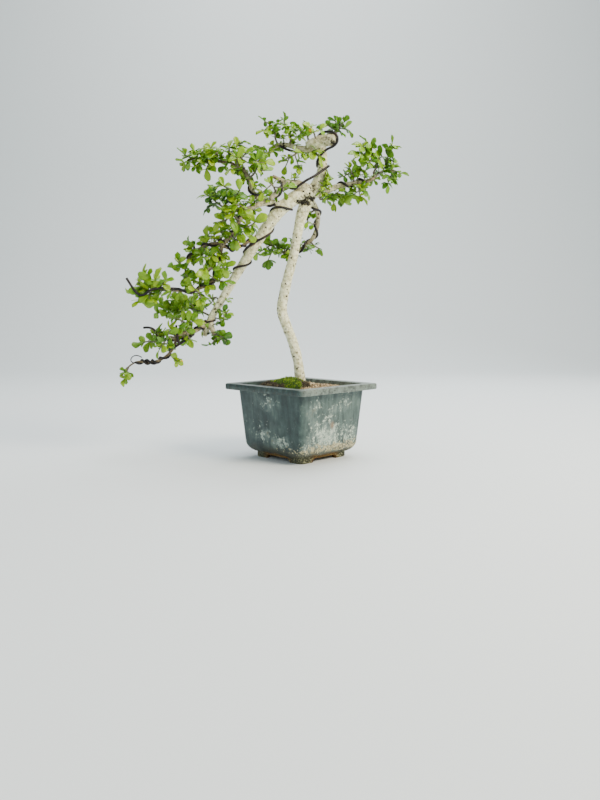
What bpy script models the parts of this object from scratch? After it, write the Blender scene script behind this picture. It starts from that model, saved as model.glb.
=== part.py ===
"""A wired fukien tea bonsai, leaning in a semi-cascade over the left side of its square pot.

Lengths are in millimetres and are turned to metres by MM where a mesh is made. Every place is
measured from a point under the trunk's foot: X to the right, Y to the back, Z up from the surface
the pot stands on. The whole plant and pot are then moved by PLANT_SHIFT, so that the middle of the
whole object's box stands over the origin.
"""

import math
import random

import bmesh
import bpy
from mathutils import Matrix, Vector
from mathutils.bvhtree import BVHTree
from mathutils.geometry import intersect_point_line

MM = 0.001
MERGE_DISTANCE = 0.000005
FLAT_ANGLE = 0.02
PLANT_SHIFT = 47.3

# Pot, a square shell standing with one corner to the front; its middle is right of the trunk's foot
POT_CENTRE = 4.0
RIM_SIDE = 152.5
RIM_HEIGHT = 8.0
RIM_LIP = 3.0
RIM_PLATE = 2.6
RIM_CORNER = 5.0
POT_HEIGHT = 103.0
BODY_TOP_SIDE = 127.4
WAIST_SIDE = 114.4
WAIST_HEIGHT = 23.0
BASE_SIDE = 91.3
BASE_HEIGHT = 8.0
BODY_CORNER = 7.0
WALL = 2.6
FLOOR = 3.0
FOOT_WALL = 6.0
RECESS_CORNER = 2.0
ARCH_WIDTH = 46.0
ARCH_HEIGHT = 5.5
ARCH_ROUND = 3.8
DRAIN_RADIUS = 5.0
DRAIN_PLACE = 21.0

# Soil and moss
GAP = 0.35
SOIL_LEVEL = 96.0
SOIL_RISE = 5.5
SOIL_RISE_REACH = 42.0
SOIL_RIPPLE = 0.9
SOIL_WAVES = (7.3, 6.1, 11.0)
SOIL_DEPTH = 120.0
SOIL_CELL = 27.0
MOSS_CENTRE = (-19.0, -23.0)
MOSS_REACH = (33.0, 19.0)
MOSS_HEIGHT = 13.5
MOSS_SCALLOPS = [(3, 0.10), (5, 0.06)]
MOSS_LUMPS = (7.0, 6.0)
MOSS_LUMP = 0.10

# Wood: each point is across, back, up, and the radius of the wood there
ROOT_DEPTH = 62.0
WOOD = {
    "trunk": [
        (3, 0, ROOT_DEPTH, 7.0), (3, 0, 90, 8.6), (3, 0, 98, 8.6), (2.5, 0, 110, 7.3), (-0.5, 2, 133, 6.8),
        (-6.5, 5, 157, 6.9), (-16, 7, 182, 6.9), (-22.7, 8, 203, 7.1), (-20.3, 7, 223, 6.9),
        (-13.9, 4, 251, 6.7), (-6.3, 2, 279, 6.2), (-1.3, 0, 306, 6.4), (4, 0, 330, 7.4), (11, 0, 349, 8.6),
        (18, 0, 363, 9.0),
    ],
    "root_right": [(4, -1, 103, 5.5), (12, -5, 98, 4.6), (19, -8, 93, 3.4), (26, -10, 84, 2.4)],
    "root_back": [(2, 2, 102, 5.0), (-3, 10, 98, 4.2), (-6, 17, 93, 3.0), (-8, 22, 84, 2.2)],
    "root_left": [(2, 0, 101, 4.6), (-8, 3, 97, 3.8), (-16, 5, 91, 2.8), (-22, 6, 84, 2.0)],
    "leader": [
        (13, 0, 356, 8.8), (24, 1, 370, 8.6), (31, 3, 386, 7.2), (33, 3, 399, 6.4), (33, 1, 412, 6.2),
        (31, -1, 423, 6.8),
    ],
    "stub": [
        (11, 0, 424, 4.4), (20, -1, 427, 6.8), (31, -3, 429.5, 7.8), (41, -6, 430, 7.8), (46.5, -8, 430, 7.2),
    ],
    "cascade": [
        (21, 0, 366, 7.5), (8, -3, 361, 9.0), (-5, -7, 354, 9.3), (-18.5, -10, 343, 8.6),
        (-31, -12, 330, 8.0), (-42, -12, 315, 7.8), (-53, -10, 300, 7.4), (-63.5, -7, 285, 6.9),
        (-74.5, -3, 268, 6.5), (-86, 1, 251, 6.1), (-97, 5, 233, 5.7), (-108, 8, 216, 5.2),
        (-119, 10, 198, 5.0), (-127, 10, 181, 4.4), (-131, 9, 170, 3.8),
    ],
    "cascade_end": [(-123, 10, 191, 4.2), (-120, 3, 180, 3.8), (-116, -5, 171, 3.0)],
    "right": [
        (14, 0, 358, 5.5), (24, 4, 361, 4.8), (36, 8, 365, 4.3), (51, 10, 371.5, 3.9), (68, 10, 375, 3.4),
        (84, 8, 378, 3.0), (95, 6, 379, 2.6), (104, 4, 383, 2.2),
    ],
    "back": [
        (14, 2, 355, 4.6), (22, 13, 348, 3.8), (27, 22, 338, 3.4), (27, 28, 323, 3.1),
        (23, 32, 310, 3.0), (15, 36, 299, 2.8), (4, 38, 291, 2.6), (-9, 38, 287, 2.3),
        (-21, 34, 285, 2.0),
    ],
    "top_left": [
        (26, -2, 425, 5.0), (12, 2, 420.5, 4.2), (-2, 4, 422.5, 3.6), (-12, 7, 426, 3.3),
        (-25, 10, 427.5, 3.0), (-34, 13, 424.5, 2.9), (-42, 15, 415, 2.4), (-52, 16, 408, 2.0),
        (-64, 14, 401, 1.6),
    ],
    "front_arm": [
        (13, -3, 366, 6.0), (-1, -12, 372, 5.2), (-15, -20, 369, 4.5), (-26, -27, 360, 3.9),
        (-36, -32, 350, 3.0),
    ],
    "front_spur": [(-12, -18, 371, 3.6), (-23, -22, 375, 3.0), (-33, -26, 379, 2.2)],
    "mid": [
        (-20, -11, 344, 5.0), (-31, -18, 346, 4.2), (-42, -24, 347, 3.9), (-54, -30, 351.5, 3.5),
        (-60.5, -33, 360.5, 3.1), (-63, -33, 372, 2.8), (-69, -30, 383, 2.4), (-73, -27, 392, 2.0),
    ],
    "far_left": [
        (-63, -33, 372, 2.4), (-74, -23, 387, 2.2), (-89, -12, 399, 2.0), (-103, -4, 402, 1.8),
        (-117, 3, 405, 1.5),
    ],
    "left": [
        (-42, -25, 346, 3.6), (-56, -34, 340, 3.2), (-69, -40, 335, 2.7), (-83, -42, 334, 2.2),
        (-96, -42, 336, 1.7),
    ],
    "drop": [
        (-58, -35, 340, 3.0), (-69, -36, 331, 2.8), (-77, -36, 320, 2.7), (-84, -34, 308, 2.6),
        (-92, -31, 298, 2.5), (-101, -29, 289, 2.4),
    ],
    "drop_left": [
        (-91, -31, 299, 2.3), (-104, -27, 293, 2.2), (-118, -22, 292, 2.0), (-131, -18, 287, 1.9),
        (-142, -16, 281, 1.8), (-149, -16, 271, 1.6),
    ],
    "drop_down": [
        (-101, -29, 291, 2.4), (-103, -31, 277, 2.3), (-105, -34, 262, 2.2), (-110, -38, 248, 2.1),
        (-118, -42, 238, 2.0), (-130, -45, 232, 1.9), (-143, -46, 229, 1.8), (-160, -46, 229, 1.5),
    ],
    "link": [
        (-56, -9, 299, 2.6), (-69, -17, 294, 2.0), (-80, -22, 287, 1.7), (-90, -25, 285, 1.6),
        (-100, -28, 288, 1.6),
    ],
    "low_front": [
        (-125, 9, 188, 3.4), (-135, 0, 180, 2.8), (-145, -8, 174, 2.5), (-157, -14, 173, 2.3),
    ],
    "tail": [
        (-156, -14, 174, 2.2), (-166, -14, 168, 2.1), (-170, -12, 155, 2.0), (-179, -8, 144, 1.9),
        (-191, -4, 136, 1.8), (-205, 0, 132.5, 1.8), (-218, 1, 133, 1.6), (-226, 3, 132.5, 1.4),
        (-233, 4, 129, 1.3), (-239, 6, 124.5, 1.2),
    ],
    "low_left": [(-145, -8, 174, 2.2), (-163, 6, 167, 1.9), (-180, 16, 164, 1.7), (-192, 20, 163, 1.5)],
}
WOOD_SIDES = {"trunk": 10, "leader": 8, "stub": 8, "cascade": 10, "right": 6, "front_arm": 8, "mid": 8}
THIN_WOOD_SIDES = 6
WOOD_STEP = 22.0

# Leaves: stations along the blade as shares of its length, with half its breadth as a share of its width
LEAF_STATIONS = [(0.24, 0.30), (0.64, 0.50), (0.97, 0.30)]
LEAF_LENGTH = (12.0, 16.5)
LEAF_BREADTH = 0.70
LEAF_THICKNESS = 0.65
LEAF_ARCH = 0.16
LEAF_SPACING = 6.4
SPACING_SPREAD = (0.75, 1.25)
BARE_FOOT = 4.6
TIP_INSET = 1.4
LEAF_SEAT = 0.4
TIP_LEAN = 1.4
SIDE_LEAN = 0.6
LEAF_RISE = (-0.15, 0.45)
GOLDEN_TURN = math.radians(137.5)
CANOPY_CENTRE = Vector((-60.0, 6.0, 290.0))
LIGHT_PULL = Vector((0.15, 1.8, 0.2))
LIGHT_ABOVE = Vector((0.0, 0.0, 0.5))
FACE_SPREAD = 0.7

# Sprays: the wood each stands on, the points of its stem after its root, the tips of its side twigs,
# and the size of its leaves. The root is where the way to the first of these points leaves the bark.
SPRAYS = {
    "top_left_up": (
        "top_left", [(-31, 9, 436), (-32, 6, 445), (-38, 2, 452), (-45, -3, 455)],
        [(-28, 14, 457), (-46, -7, 442)], 0.85,
    ),
    "top_left_shoot": (
        "top_left", [(-10, 2, 435), (-14, -4, 445), (-19, -9, 454)], [(-5, 6, 446)], 0.85,
    ),
    "top_mid": ("stub", [(11, 4, 441), (3, 10, 448), (-1, 14, 453)], [(11, 4, 451), (1, -8, 433)], 0.8),
    "top_right": (
        "stub", [(42, 6, 441), (55, 8, 445), (52, 10, 455), (50, 12, 460)],
        [(63, 2, 456), (38, -8, 449), (70, 16, 448)], 0.95,
    ),
    "knob_front": ("stub", [(21, -14, 437), (17, -20, 444)], [(29, -20, 440)], 0.8),
    "knob_under": ("leader", [(23, -12, 415), (14, -18, 412), (7, -20, 408)], [(28, -20, 406)], 1.0),
    "trailing": (
        "top_left", [(-2, -6, 413), (-11, -10, 407), (-21, -12, 402)],
        [(2, -14, 390), (-17, -4, 396)], 0.85,
    ),
    "leader_side": ("leader", [(38, -4, 371), (39.5, -5, 382)], [], 0.95),
    "right_rise": ("right", [(74, 2, 386), (69, -2, 395)], [(84, 16, 400), (62, 14, 386)], 0.9),
    "right_up": (
        "right", [(102, 2, 389), (107, 0, 399), (103, -4, 407), (94, -8, 414), (85, -12, 421)],
        [(93, -6, 428), (115, 10, 412), (94, -18, 397), (81, -18, 408)], 1.0,
    ),
    "right_tip": (
        "right", [(112, 8, 391), (122, 12, 393), (132, 14, 394), (141, 18, 391)],
        [(127, 2, 428), (132, 20, 407), (121, -2, 374)], 0.95,
    ),
    "right_under": ("right", [(82, -1, 368), (90, -9, 364)], [(84, 2, 357), (75, 12, 361)], 1.0),
    "right_low": (
        "right", [(30, 14, 356), (44, 18, 357), (58, 22, 360), (66, 24, 354)],
        [(57, 8, 366), (49, 12, 350), (72, 34, 367)], 0.95,
    ),
    "back_upper": ("back", [(14, 14, 335), (13, 9, 324)], [], 0.9),
    "back_small": ("back", [(23, 28, 294), (30, 26, 290)], [], 0.95),
    "back_end": (
        "back", [(-29, 32, 289), (-36, 26, 295), (-40, 24, 303)],
        [(-25, 44, 297), (-43, 38, 275), (-58, 26, 283)], 0.95,
    ),
    "far_left_end": (
        "far_left", [(-134, 8, 408), (-146, 12, 411), (-156, 16, 415)],
        [(-140, -2, 396), (-143, 20, 422), (-155, 8, 403), (-127, -6, 416)], 0.95,
    ),
    "far_left_mid": (
        "far_left", [(-109, -8, 412), (-117, -12, 419)], [(-105, 4, 425), (-123, -14, 390)], 1.05,
    ),
    "far_left_inner": ("far_left", [(-91, -18, 410), (-91, -20, 418)], [(-75, -12, 426)], 1.05),
    "pale_twig": ("top_left", [(-53, 20, 427), (-61, 22, 427), (-70, 24, 425)], [], 0.75),
    "mid_top": ("mid", [(-78, -38, 389), (-79, -42, 400)], [(-88, -44, 385), (-68, -36, 407)], 1.0),
    "mid_right": (
        "mid", [(-57, -37, 381), (-53, -38, 392), (-59, -34, 404)],
        [(-43, -42, 383), (-44, -28, 396)], 1.0,
    ),
    "left_end": (
        "left", [(-106, -40, 343), (-113, -37, 350), (-121, -36, 354)],
        [(-118, -32, 338), (-115, -28, 363), (-103, -26, 351)], 0.9,
    ),
    "left_upper": (
        "left", [(-82, -50, 345), (-87, -53, 356), (-96, -55, 362)],
        [(-74, -58, 356), (-95, -40, 350)], 1.05,
    ),
    "left_front": ("left", [(-74, -52, 337), (-81, -62, 338)], [(-66, -60, 330), (-86, -60, 326)], 1.1),
    "arm_leaf": (
        "front_arm", [(-32, -37, 364), (-38, -43, 369)], [(-12, -38, 362), (-47, -44, 355)], 0.95,
    ),
    "drop_upper": (
        "drop", [(-85, -44, 326), (-93, -50, 320), (-102, -52, 317)], [(-95, -58, 330)], 0.95,
    ),
    "drop_right": ("drop", [(-72, -45, 311), (-63, -50, 312), (-55, -52, 317)], [(-65, -42, 302)], 1.1),
    "drop_front": ("drop", [(-83, -44, 296), (-76, -50, 293)], [(-78, -56, 302)], 1.15),
    "drop_left_top": (
        "drop_left", [(-112, -28, 301), (-107, -34, 309)], [(-125, -16, 303), (-97, -42, 306)], 1.0,
    ),
    "drop_left_end": (
        "drop_left", [(-152, -18, 259), (-153, -20, 246)],
        [(-170, -8, 261), (-161, -26, 272), (-145, -32, 245)], 1.0,
    ),
    "drop_left_back": ("drop_left", [(-142, -8, 292), (-149, -2, 295)], [(-143, -2, 280)], 0.9),
    "drop_left_low": (
        "drop_left", [(-123, -28, 278), (-122, -32, 266)], [(-133, -16, 277), (-113, -44, 274)], 1.0,
    ),
    "down_mid": (
        "drop_down", [(-115, -46, 259), (-121, -52, 252)], [(-126, -44, 245), (-93, -48, 259)], 1.05,
    ),
    "down_low": ("drop_down", [(-106, -51, 242), (-97, -56, 241)], [(-115, -58, 249)], 1.1),
    "down_bottom": ("drop_down", [(-129, -52, 225), (-126, -56, 218)], [(-138, -58, 236)], 1.05),
    "down_end": (
        "drop_down", [(-178, -42, 230), (-193, -38, 229), (-204, -34, 233), (-212, -32, 241)],
        [(-205, -30, 252), (-188, -46, 244), (-172, -52, 243), (-210, -38, 216), (-196, -46, 217),
         (-222, -28, 226)], 1.1,
    ),
    "low_back": (
        "cascade", [(-137, 16, 203), (-149, 20, 206), (-163, 24, 210), (-178, 28, 212), (-196, 30, 209)],
        [(-154, 10, 220), (-174, 34, 222), (-184, 20, 200), (-202, 36, 200), (-163, 14, 199),
         (-142, 26, 215)], 1.05,
    ),
    "low_front_up": (
        "low_front", [(-151, -14, 184), (-160, -18, 191), (-169, -20, 194)],
        [(-142, -20, 189), (-146, -22, 163)], 1.05,
    ),
    "tail_top": (
        "tail", [(-175, -21, 168), (-182, -25, 160), (-188, -27, 151)], [(-172, -26, 180)], 1.05,
    ),
    "low_left_end": (
        "low_left", [(-205, 24, 160), (-216, 26, 160), (-224, 28, 157)],
        [(-196, 14, 174), (-207, 34, 171)], 1.0,
    ),
    "tail_mid": ("tail", [(-172, -16, 140), (-166, -20, 135)], [], 0.95),
    "tail_tip": ("tail", [(-244, 7, 118), (-243, 8, 108)], [], 0.85),
    "stub_side": (
        "cascade_end", [(-110, -8, 171), (-103, -10, 167)], [(-120, -10, 157), (-109, 2, 161)], 1.0,
    ),
    "cascade_right": ("cascade", [(-106, 4, 203), (-98, 0, 200)], [(-102, -4, 190)], 0.85),
    "cascade_left": ("cascade", [(-115, 16, 222), (-124, 20, 221)], [(-124, 24, 213)], 0.85),
}
STEM_RADII = (1.5, 0.9)
TWIG_RADII = (0.95, 0.7)
STEM_SIDES = 4
STEM_STEP = 19.0
FORK_SPAN = (0.25, 0.8)
ROOT_CLEARANCE = 0.5

# Wires: windings are the wood, the shares of its length where they start and end, the turns, and the
# angle at which they start, from the front; a loose stretch is a list of points across, back and up
WIRE_RADIUS = 1.4
WIRE_POINTS_PER_TURN = 8
WIRE_SIDES = 6
WIRE_STEP = 6.0
CLEARING_ROUNDS = 3
WIRES = {
    "wire_leader": [
        ("loose", [
            (-25.5, 5.5, 425.5), (-18, 6, 421.5), (-6, 7, 418), (4, 5, 416.5), (12, 7, 416), (18, 11, 422),
            (24, 10, 434), (30, 3, 440.5), (37, -5, 441), (45, -9, 440), (49.7, -10, 434), (49.7, -10, 426),
            (46, -9, 420.5), (40, -9, 418.5), (35, -9, 415), (30, -7, 410), (25.5, -1, 404), (26, 8, 398),
        ]),
    ],
    "wire_arm": [
        ("loose", [
            (35, 12, 399), (41.5, 5, 398.5), (40.5, -5, 396), (34, -8, 391), (22, -14, 382), (8, -18, 374),
        ]),
        ("wind", "front_arm", 0.31, 0.96, -1.45, -45),
    ],
    "wire_cascade": [
        ("wind", "cascade", 0.165, 0.245, 0.5, -90), ("wind", "cascade", 0.245, 0.328, 0.5, 90),
        ("wind", "cascade", 0.328, 0.505, 0.5, -90), ("wind", "cascade", 0.505, 0.53, 0.5, 90),
        ("wind", "cascade", 0.53, 0.61, 0.5, -90), ("wind", "cascade", 0.61, 0.625, 0.2, 90),
    ],
    "wire_right": [("wind", "right", 0.40, 0.92, 1.93, -223)],
    "wire_back": [("wind", "back", 0.12, 0.96, -3.1, 86)],
    "wire_mid": [("wind", "mid", 0.17, 0.72, -1.5, -20)],
    "wire_drop": [("wind", "drop", 0.05, 0.85, 2.25, 150)],
    "wire_drop_left": [("wind", "drop_left", 0.15, 0.98, 2.2, 60)],
    "wire_down": [
        ("wind", "drop_down", 0.33, 0.99, 2.15, 49),
        ("loose", [
            (-176, -50, 233), (-192, -46, 231), (-206, -42, 223), (-215, -40, 228), (-227, -38, 246),
        ]),
    ],
    "wire_low": [("wind", "low_front", 0.08, 0.73, 1.7, 44), ("wind", "tail", 0.23, 0.86, 3.15, -49)],
}

BARK = ("bark", (0.66, 0.64, 0.56), 0.8)
PLASTIC = ("pot_plastic", (0.10, 0.15, 0.16), 0.55)
GRIT = ("grit", (0.42, 0.29, 0.20), 0.95)
MOSS = ("moss", (0.12, 0.28, 0.02), 0.95)
WIRE_COAT = ("wire_coat", (0.05, 0.03, 0.03), 0.5)
LEAF = ("leaf", (0.27, 0.42, 0.03), 0.4)


def clear_scene():
    """Remove every object that the scene starts with."""
    for item in list(bpy.data.objects):
        bpy.data.objects.remove(item, do_unlink=True)


def new_collection(name):
    """A collection linked to the scene."""
    group = bpy.data.collections.new(name)
    bpy.context.scene.collection.children.link(group)
    return group


def add_mesh(name, shape, group):
    """Turn a bmesh into an object in a collection."""
    mesh = bpy.data.meshes.new(name)
    shape.to_mesh(mesh)
    shape.free()
    item = bpy.data.objects.new(name, mesh)
    group.objects.link(item)
    return item


def paint(item, finish):
    """Give an object its own plain material."""
    name, colour, roughness = finish
    material = bpy.data.materials.new(f"{item.name}_{name}")
    material.use_nodes = True
    shader = material.node_tree.nodes["Principled BSDF"]
    shader.inputs["Base Color"].default_value = (*colour, 1.0)
    shader.inputs["Roughness"].default_value = roughness
    shader.inputs["Metallic"].default_value = 0.0
    material.diffuse_color = (*colour, 1.0)
    item.data.materials.clear()
    item.data.materials.append(material)


def evaluated_mesh(item):
    """The object's mesh as its curve settings or modifiers make it."""
    bpy.context.view_layer.update()
    graph = bpy.context.evaluated_depsgraph_get()
    return bpy.data.meshes.new_from_object(item.evaluated_get(graph))


def cut(item, tool, operation="DIFFERENCE"):
    """Add a Boolean that cuts the object with a tool, or keeps what both hold."""
    modifier = item.modifiers.new(operation.lower(), "BOOLEAN")
    modifier.operation = operation
    modifier.object = tool
    modifier.solver = "EXACT"
    return modifier


def as_cutter(item):
    """Mark an object as a tool that isn't part of the model."""
    item.hide_render = True
    item.display_type = "WIRE"
    return item


def fuse(base, others):
    """Join solids that overlap into base, as one closed body, and remove them."""
    if others:
        group = bpy.data.collections.new("fusing")
        for other in others:
            group.objects.link(other)
        modifier = base.modifiers.new("fuse", "BOOLEAN")
        modifier.operation = "UNION"
        modifier.operand_type = "COLLECTION"
        modifier.collection = group
        modifier.solver = "MANIFOLD"
        mesh = evaluated_mesh(base)
        base.modifiers.clear()
        shape = bmesh.new()
        shape.from_mesh(mesh)
        bmesh.ops.dissolve_limit(
            shape, angle_limit=FLAT_ANGLE, verts=shape.verts[:], edges=shape.edges[:],
        )
        bmesh.ops.triangulate(shape, faces=shape.faces[:])
        bmesh.ops.dissolve_degenerate(shape, edges=shape.edges[:], dist=MERGE_DISTANCE)
        shape.to_mesh(mesh)
        shape.free()
        base.data = mesh
        for other in others:
            bpy.data.objects.remove(other, do_unlink=True)
        bpy.data.collections.remove(group)
    return base


def smooth_route(points, step):
    """Follow a smooth curve through points of any dimension and read it about every step."""
    spots = [Vector(point) for point in points]
    spots = [2 * spots[0] - spots[1], *spots, 2 * spots[-1] - spots[-2]]
    route = []
    for before, start, end, after in zip(spots, spots[1:], spots[2:], spots[3:]):
        count = max(1, round((end - start).length / step))
        for number in range(count):
            share = number / count
            bend = (2 * before - 5 * start + 4 * end - after) * share ** 2
            twist = (3 * start - before - 3 * end + after) * share ** 3
            route.append(0.5 * (2 * start + (end - before) * share + bend + twist))
    route.append(spots[-2])
    return route


def tube(name, route, sides, group, extra=0.0):
    """A round closed stem along a route whose fourth values are radii, larger all round by extra."""
    if extra:
        ends = [(0, 1), (-1, -2)]
        route = [spot.copy() for spot in route]
        for end, inner in ends:
            route[end].xyz += (route[end].xyz - route[inner].xyz).normalized() * extra
    curve = bpy.data.curves.new(name, "CURVE")
    curve.dimensions = "3D"
    curve.bevel_depth = MM
    curve.bevel_resolution = (sides - 4) // 2
    curve.use_fill_caps = True
    spline = curve.splines.new("POLY")
    spline.points.add(len(route) - 1)
    for knot, spot in zip(spline.points, route):
        knot.co = (*(spot.xyz * MM), 1.0)
        knot.radius = spot.w + extra
    source = bpy.data.objects.new(name, curve)
    group.objects.link(source)
    mesh = evaluated_mesh(source)
    bpy.data.objects.remove(source, do_unlink=True)
    shape = bmesh.new()
    shape.from_mesh(mesh)
    bpy.data.meshes.remove(mesh)
    bmesh.ops.remove_doubles(shape, verts=shape.verts[:], dist=MERGE_DISTANCE)
    bmesh.ops.triangulate(shape, faces=shape.faces[:])
    bmesh.ops.recalc_face_normals(shape, faces=shape.faces[:])
    return add_mesh(name, shape, group)


def square_block(name, levels, corner, group):
    """A solid through square outlines of (height, side), its upright edges rounded, a corner in front."""
    shape = bmesh.new()
    rings = []
    for height, side in levels:
        place = Matrix.Translation(Vector((POT_CENTRE, 0, height)) * MM)
        ring = bmesh.ops.create_circle(shape, segments=4, radius=side * MM / math.sqrt(2), matrix=place)
        rings.append(ring["verts"])
    for lower, upper in zip(rings, rings[1:]):
        both = lower + upper
        edges = [edge for edge in shape.edges if all(vert in both for vert in edge.verts)]
        bmesh.ops.bridge_loops(shape, edges=edges)
    bmesh.ops.contextual_create(shape, geom=rings[0])
    bmesh.ops.contextual_create(shape, geom=rings[-1])
    upright = [edge for edge in shape.edges if abs(edge.verts[0].co.z - edge.verts[1].co.z) > MM]
    bmesh.ops.bevel(
        shape, geom=upright, offset=corner * MM, offset_type="OFFSET", segments=2, profile=0.5,
        affect="EDGES", material=-1,
    )
    bmesh.ops.recalc_face_normals(shape, faces=shape.faces[:])
    return add_mesh(name, shape, group)


def box(name, size, turn, group):
    """A plain box round the foot of the pot's middle, turned about the upright axis."""
    shape = bmesh.new()
    place = Matrix.Translation((POT_CENTRE * MM, 0, 0)) @ Matrix.Rotation(turn, 4, "Z")
    scale = Matrix.Diagonal((*(Vector(size) * MM), 1.0))
    bmesh.ops.create_cube(shape, size=1.0, matrix=place @ scale)
    return add_mesh(name, shape, group)


def inner_levels(clearance, top):
    """The inside of the pot as heights and sides, smaller by a clearance on every wall."""
    return [
        (BASE_HEIGHT + FLOOR + clearance, BASE_SIDE - 2 * clearance),
        (WAIST_HEIGHT + FLOOR, WAIST_SIDE - 2 * (WALL + clearance)),
        (top, BODY_TOP_SIDE - 2 * (WALL + clearance)),
    ]


def make_pot(parts, cutters):
    """Square tapered pot: tucked-in foot on four corner feet, and a flange with a turned-down lip."""
    rim_base = POT_HEIGHT - RIM_HEIGHT
    body_levels = [
        (0, BASE_SIDE), (BASE_HEIGHT, BASE_SIDE), (WAIST_HEIGHT, WAIST_SIDE),
        (POT_HEIGHT - RIM_PLATE / 2, BODY_TOP_SIDE),
    ]
    pot = square_block("pot", body_levels, BODY_CORNER, parts)
    rim = square_block("rim_block", [(rim_base, RIM_SIDE), (POT_HEIGHT, RIM_SIDE)], RIM_CORNER, cutters)
    lip_inside = RIM_SIDE - 2 * RIM_LIP
    groove_levels = [(rim_base - 1, lip_inside), (POT_HEIGHT - RIM_PLATE, lip_inside)]
    groove = square_block("rim_groove", groove_levels, RIM_CORNER - RIM_LIP / 2, cutters)
    inside = square_block("pot_inside", inner_levels(0.0, POT_HEIGHT + 1), BODY_CORNER - WALL, cutters)
    recess_side = BASE_SIDE - 2 * FOOT_WALL
    recess_levels = [(-1, recess_side), (BASE_HEIGHT, recess_side)]
    recess = square_block("foot_recess", recess_levels, RECESS_CORNER, cutters)
    cut(rim, as_cutter(groove))
    cut(pot, as_cutter(rim), "UNION")
    cut(pot, as_cutter(inside))
    cut(pot, as_cutter(recess))
    for number in range(2):
        turn = math.radians(45 + 90 * number)
        size = (ARCH_WIDTH, RIM_SIDE, 2 * ARCH_HEIGHT)
        arch = box(f"foot_arch_{number}", size, turn, cutters)
        bevel = arch.modifiers.new("round", "BEVEL")
        bevel.width = ARCH_ROUND * MM
        bevel.segments = 2
        cut(pot, as_cutter(arch))
    for number in range(4):
        angle = math.radians(90 * number)
        across = POT_CENTRE + DRAIN_PLACE * math.cos(angle)
        back = DRAIN_PLACE * math.sin(angle)
        place = Vector((across, back, BASE_HEIGHT + FLOOR / 2))
        shape = bmesh.new()
        bmesh.ops.create_cone(
            shape, cap_ends=True, segments=8, radius1=DRAIN_RADIUS * MM, radius2=DRAIN_RADIUS * MM,
            depth=3 * FLOOR * MM, matrix=Matrix.Translation(place * MM),
        )
        cut(pot, as_cutter(add_mesh(f"drain_{number}", shape, cutters)))
    paint(pot, PLASTIC)
    return pot


def soil_height(x, y):
    """Height of the soil: raised round the trunk, with low ripples."""
    rise = SOIL_RISE * math.exp(-(x * x + y * y) / SOIL_RISE_REACH ** 2)
    across, back, slant = SOIL_WAVES
    ripple = math.cos(x / across) * math.sin(y / back) + math.sin((x - y) / slant) / 2
    return SOIL_LEVEL + rise + SOIL_RIPPLE * ripple


def ground_block(name, lift, group):
    """A deep block whose top is the soil's surface, lifted by a small amount."""
    cells = math.ceil(RIM_SIDE / SOIL_CELL)
    shape = bmesh.new()
    bmesh.ops.create_grid(shape, x_segments=cells, y_segments=cells, size=RIM_SIDE / 2 * MM)
    quarter = Matrix.Rotation(math.radians(45), 3, "Z")
    bmesh.ops.rotate(shape, verts=shape.verts[:], cent=(0, 0, 0), matrix=quarter)
    bmesh.ops.translate(shape, verts=shape.verts[:], vec=(POT_CENTRE * MM, 0, 0))
    for vert in shape.verts:
        vert.co.z = (soil_height(vert.co.x / MM, vert.co.y / MM) + lift) * MM
    bmesh.ops.triangulate(shape, faces=shape.faces[:])
    under = bmesh.ops.extrude_face_region(shape, geom=shape.faces[:])["geom"]
    for vert in [item for item in under if isinstance(item, bmesh.types.BMVert)]:
        vert.co.z -= SOIL_DEPTH * MM
    bmesh.ops.recalc_face_normals(shape, faces=shape.faces[:])
    return add_mesh(name, shape, group)


def make_soil(parts, cutters, root_sockets):
    """Soil filling the pot, with a plain hole that the trunk's foot and the surface roots stand in."""
    soil = square_block("soil", inner_levels(GAP, POT_HEIGHT + 4), BODY_CORNER - WALL, parts)
    cut(soil, as_cutter(ground_block("soil_surface", 0.0, cutters)), "INTERSECT")
    for socket in root_sockets:
        cut(soil, socket)
    paint(soil, GRIT)
    return soil


def make_moss(parts, cutters, root_sockets):
    """A low clump of moss on the soil, domed by a formula and scalloped round its edge."""
    shape = bmesh.new()
    dome = bmesh.ops.create_icosphere(shape, subdivisions=2, radius=1.0)["verts"]
    for vert in dome:
        angle = math.atan2(vert.co.y, vert.co.x)
        edge = 1.0 + sum(depth * math.sin(number * angle) for number, depth in MOSS_SCALLOPS)
        lump = 1.0 + MOSS_LUMP * math.sin(MOSS_LUMPS[0] * vert.co.x) * math.sin(MOSS_LUMPS[1] * vert.co.y)
        x = MOSS_CENTRE[0] + MOSS_REACH[0] * vert.co.x * edge
        y = MOSS_CENTRE[1] + MOSS_REACH[1] * vert.co.y * edge
        vert.co = Vector((x, y, soil_height(x, y) + MOSS_HEIGHT * vert.co.z * lump)) * MM
    bmesh.ops.recalc_face_normals(shape, faces=shape.faces[:])
    moss = add_mesh("moss", shape, parts)
    cut(moss, as_cutter(ground_block("moss_seat", GAP, cutters)))
    for socket in root_sockets:
        cut(moss, socket)
    paint(moss, MOSS)
    return moss


def wood_routes():
    """Every branch as a smooth route of points with their radii."""
    return {name: smooth_route(points, WOOD_STEP) for name, points in WOOD.items()}


def sides_of(name):
    """How many sides a branch has."""
    return WOOD_SIDES.get(name, THIN_WOOD_SIDES)


def make_tree(parts, routes):
    """Trunk, surface roots and all woody branches, grown as one piece."""
    limbs = [tube(name, route, sides_of(name), parts) for name, route in routes.items()]
    tree = fuse(limbs[0], limbs[1:])
    tree.name = "tree"
    paint(tree, BARK)
    return tree


def lengths_along(route):
    """How far along the route each of its points is."""
    total = [0.0]
    for start, end in zip(route, route[1:]):
        total.append(total[-1] + (end.xyz - start.xyz).length)
    return total


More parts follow.
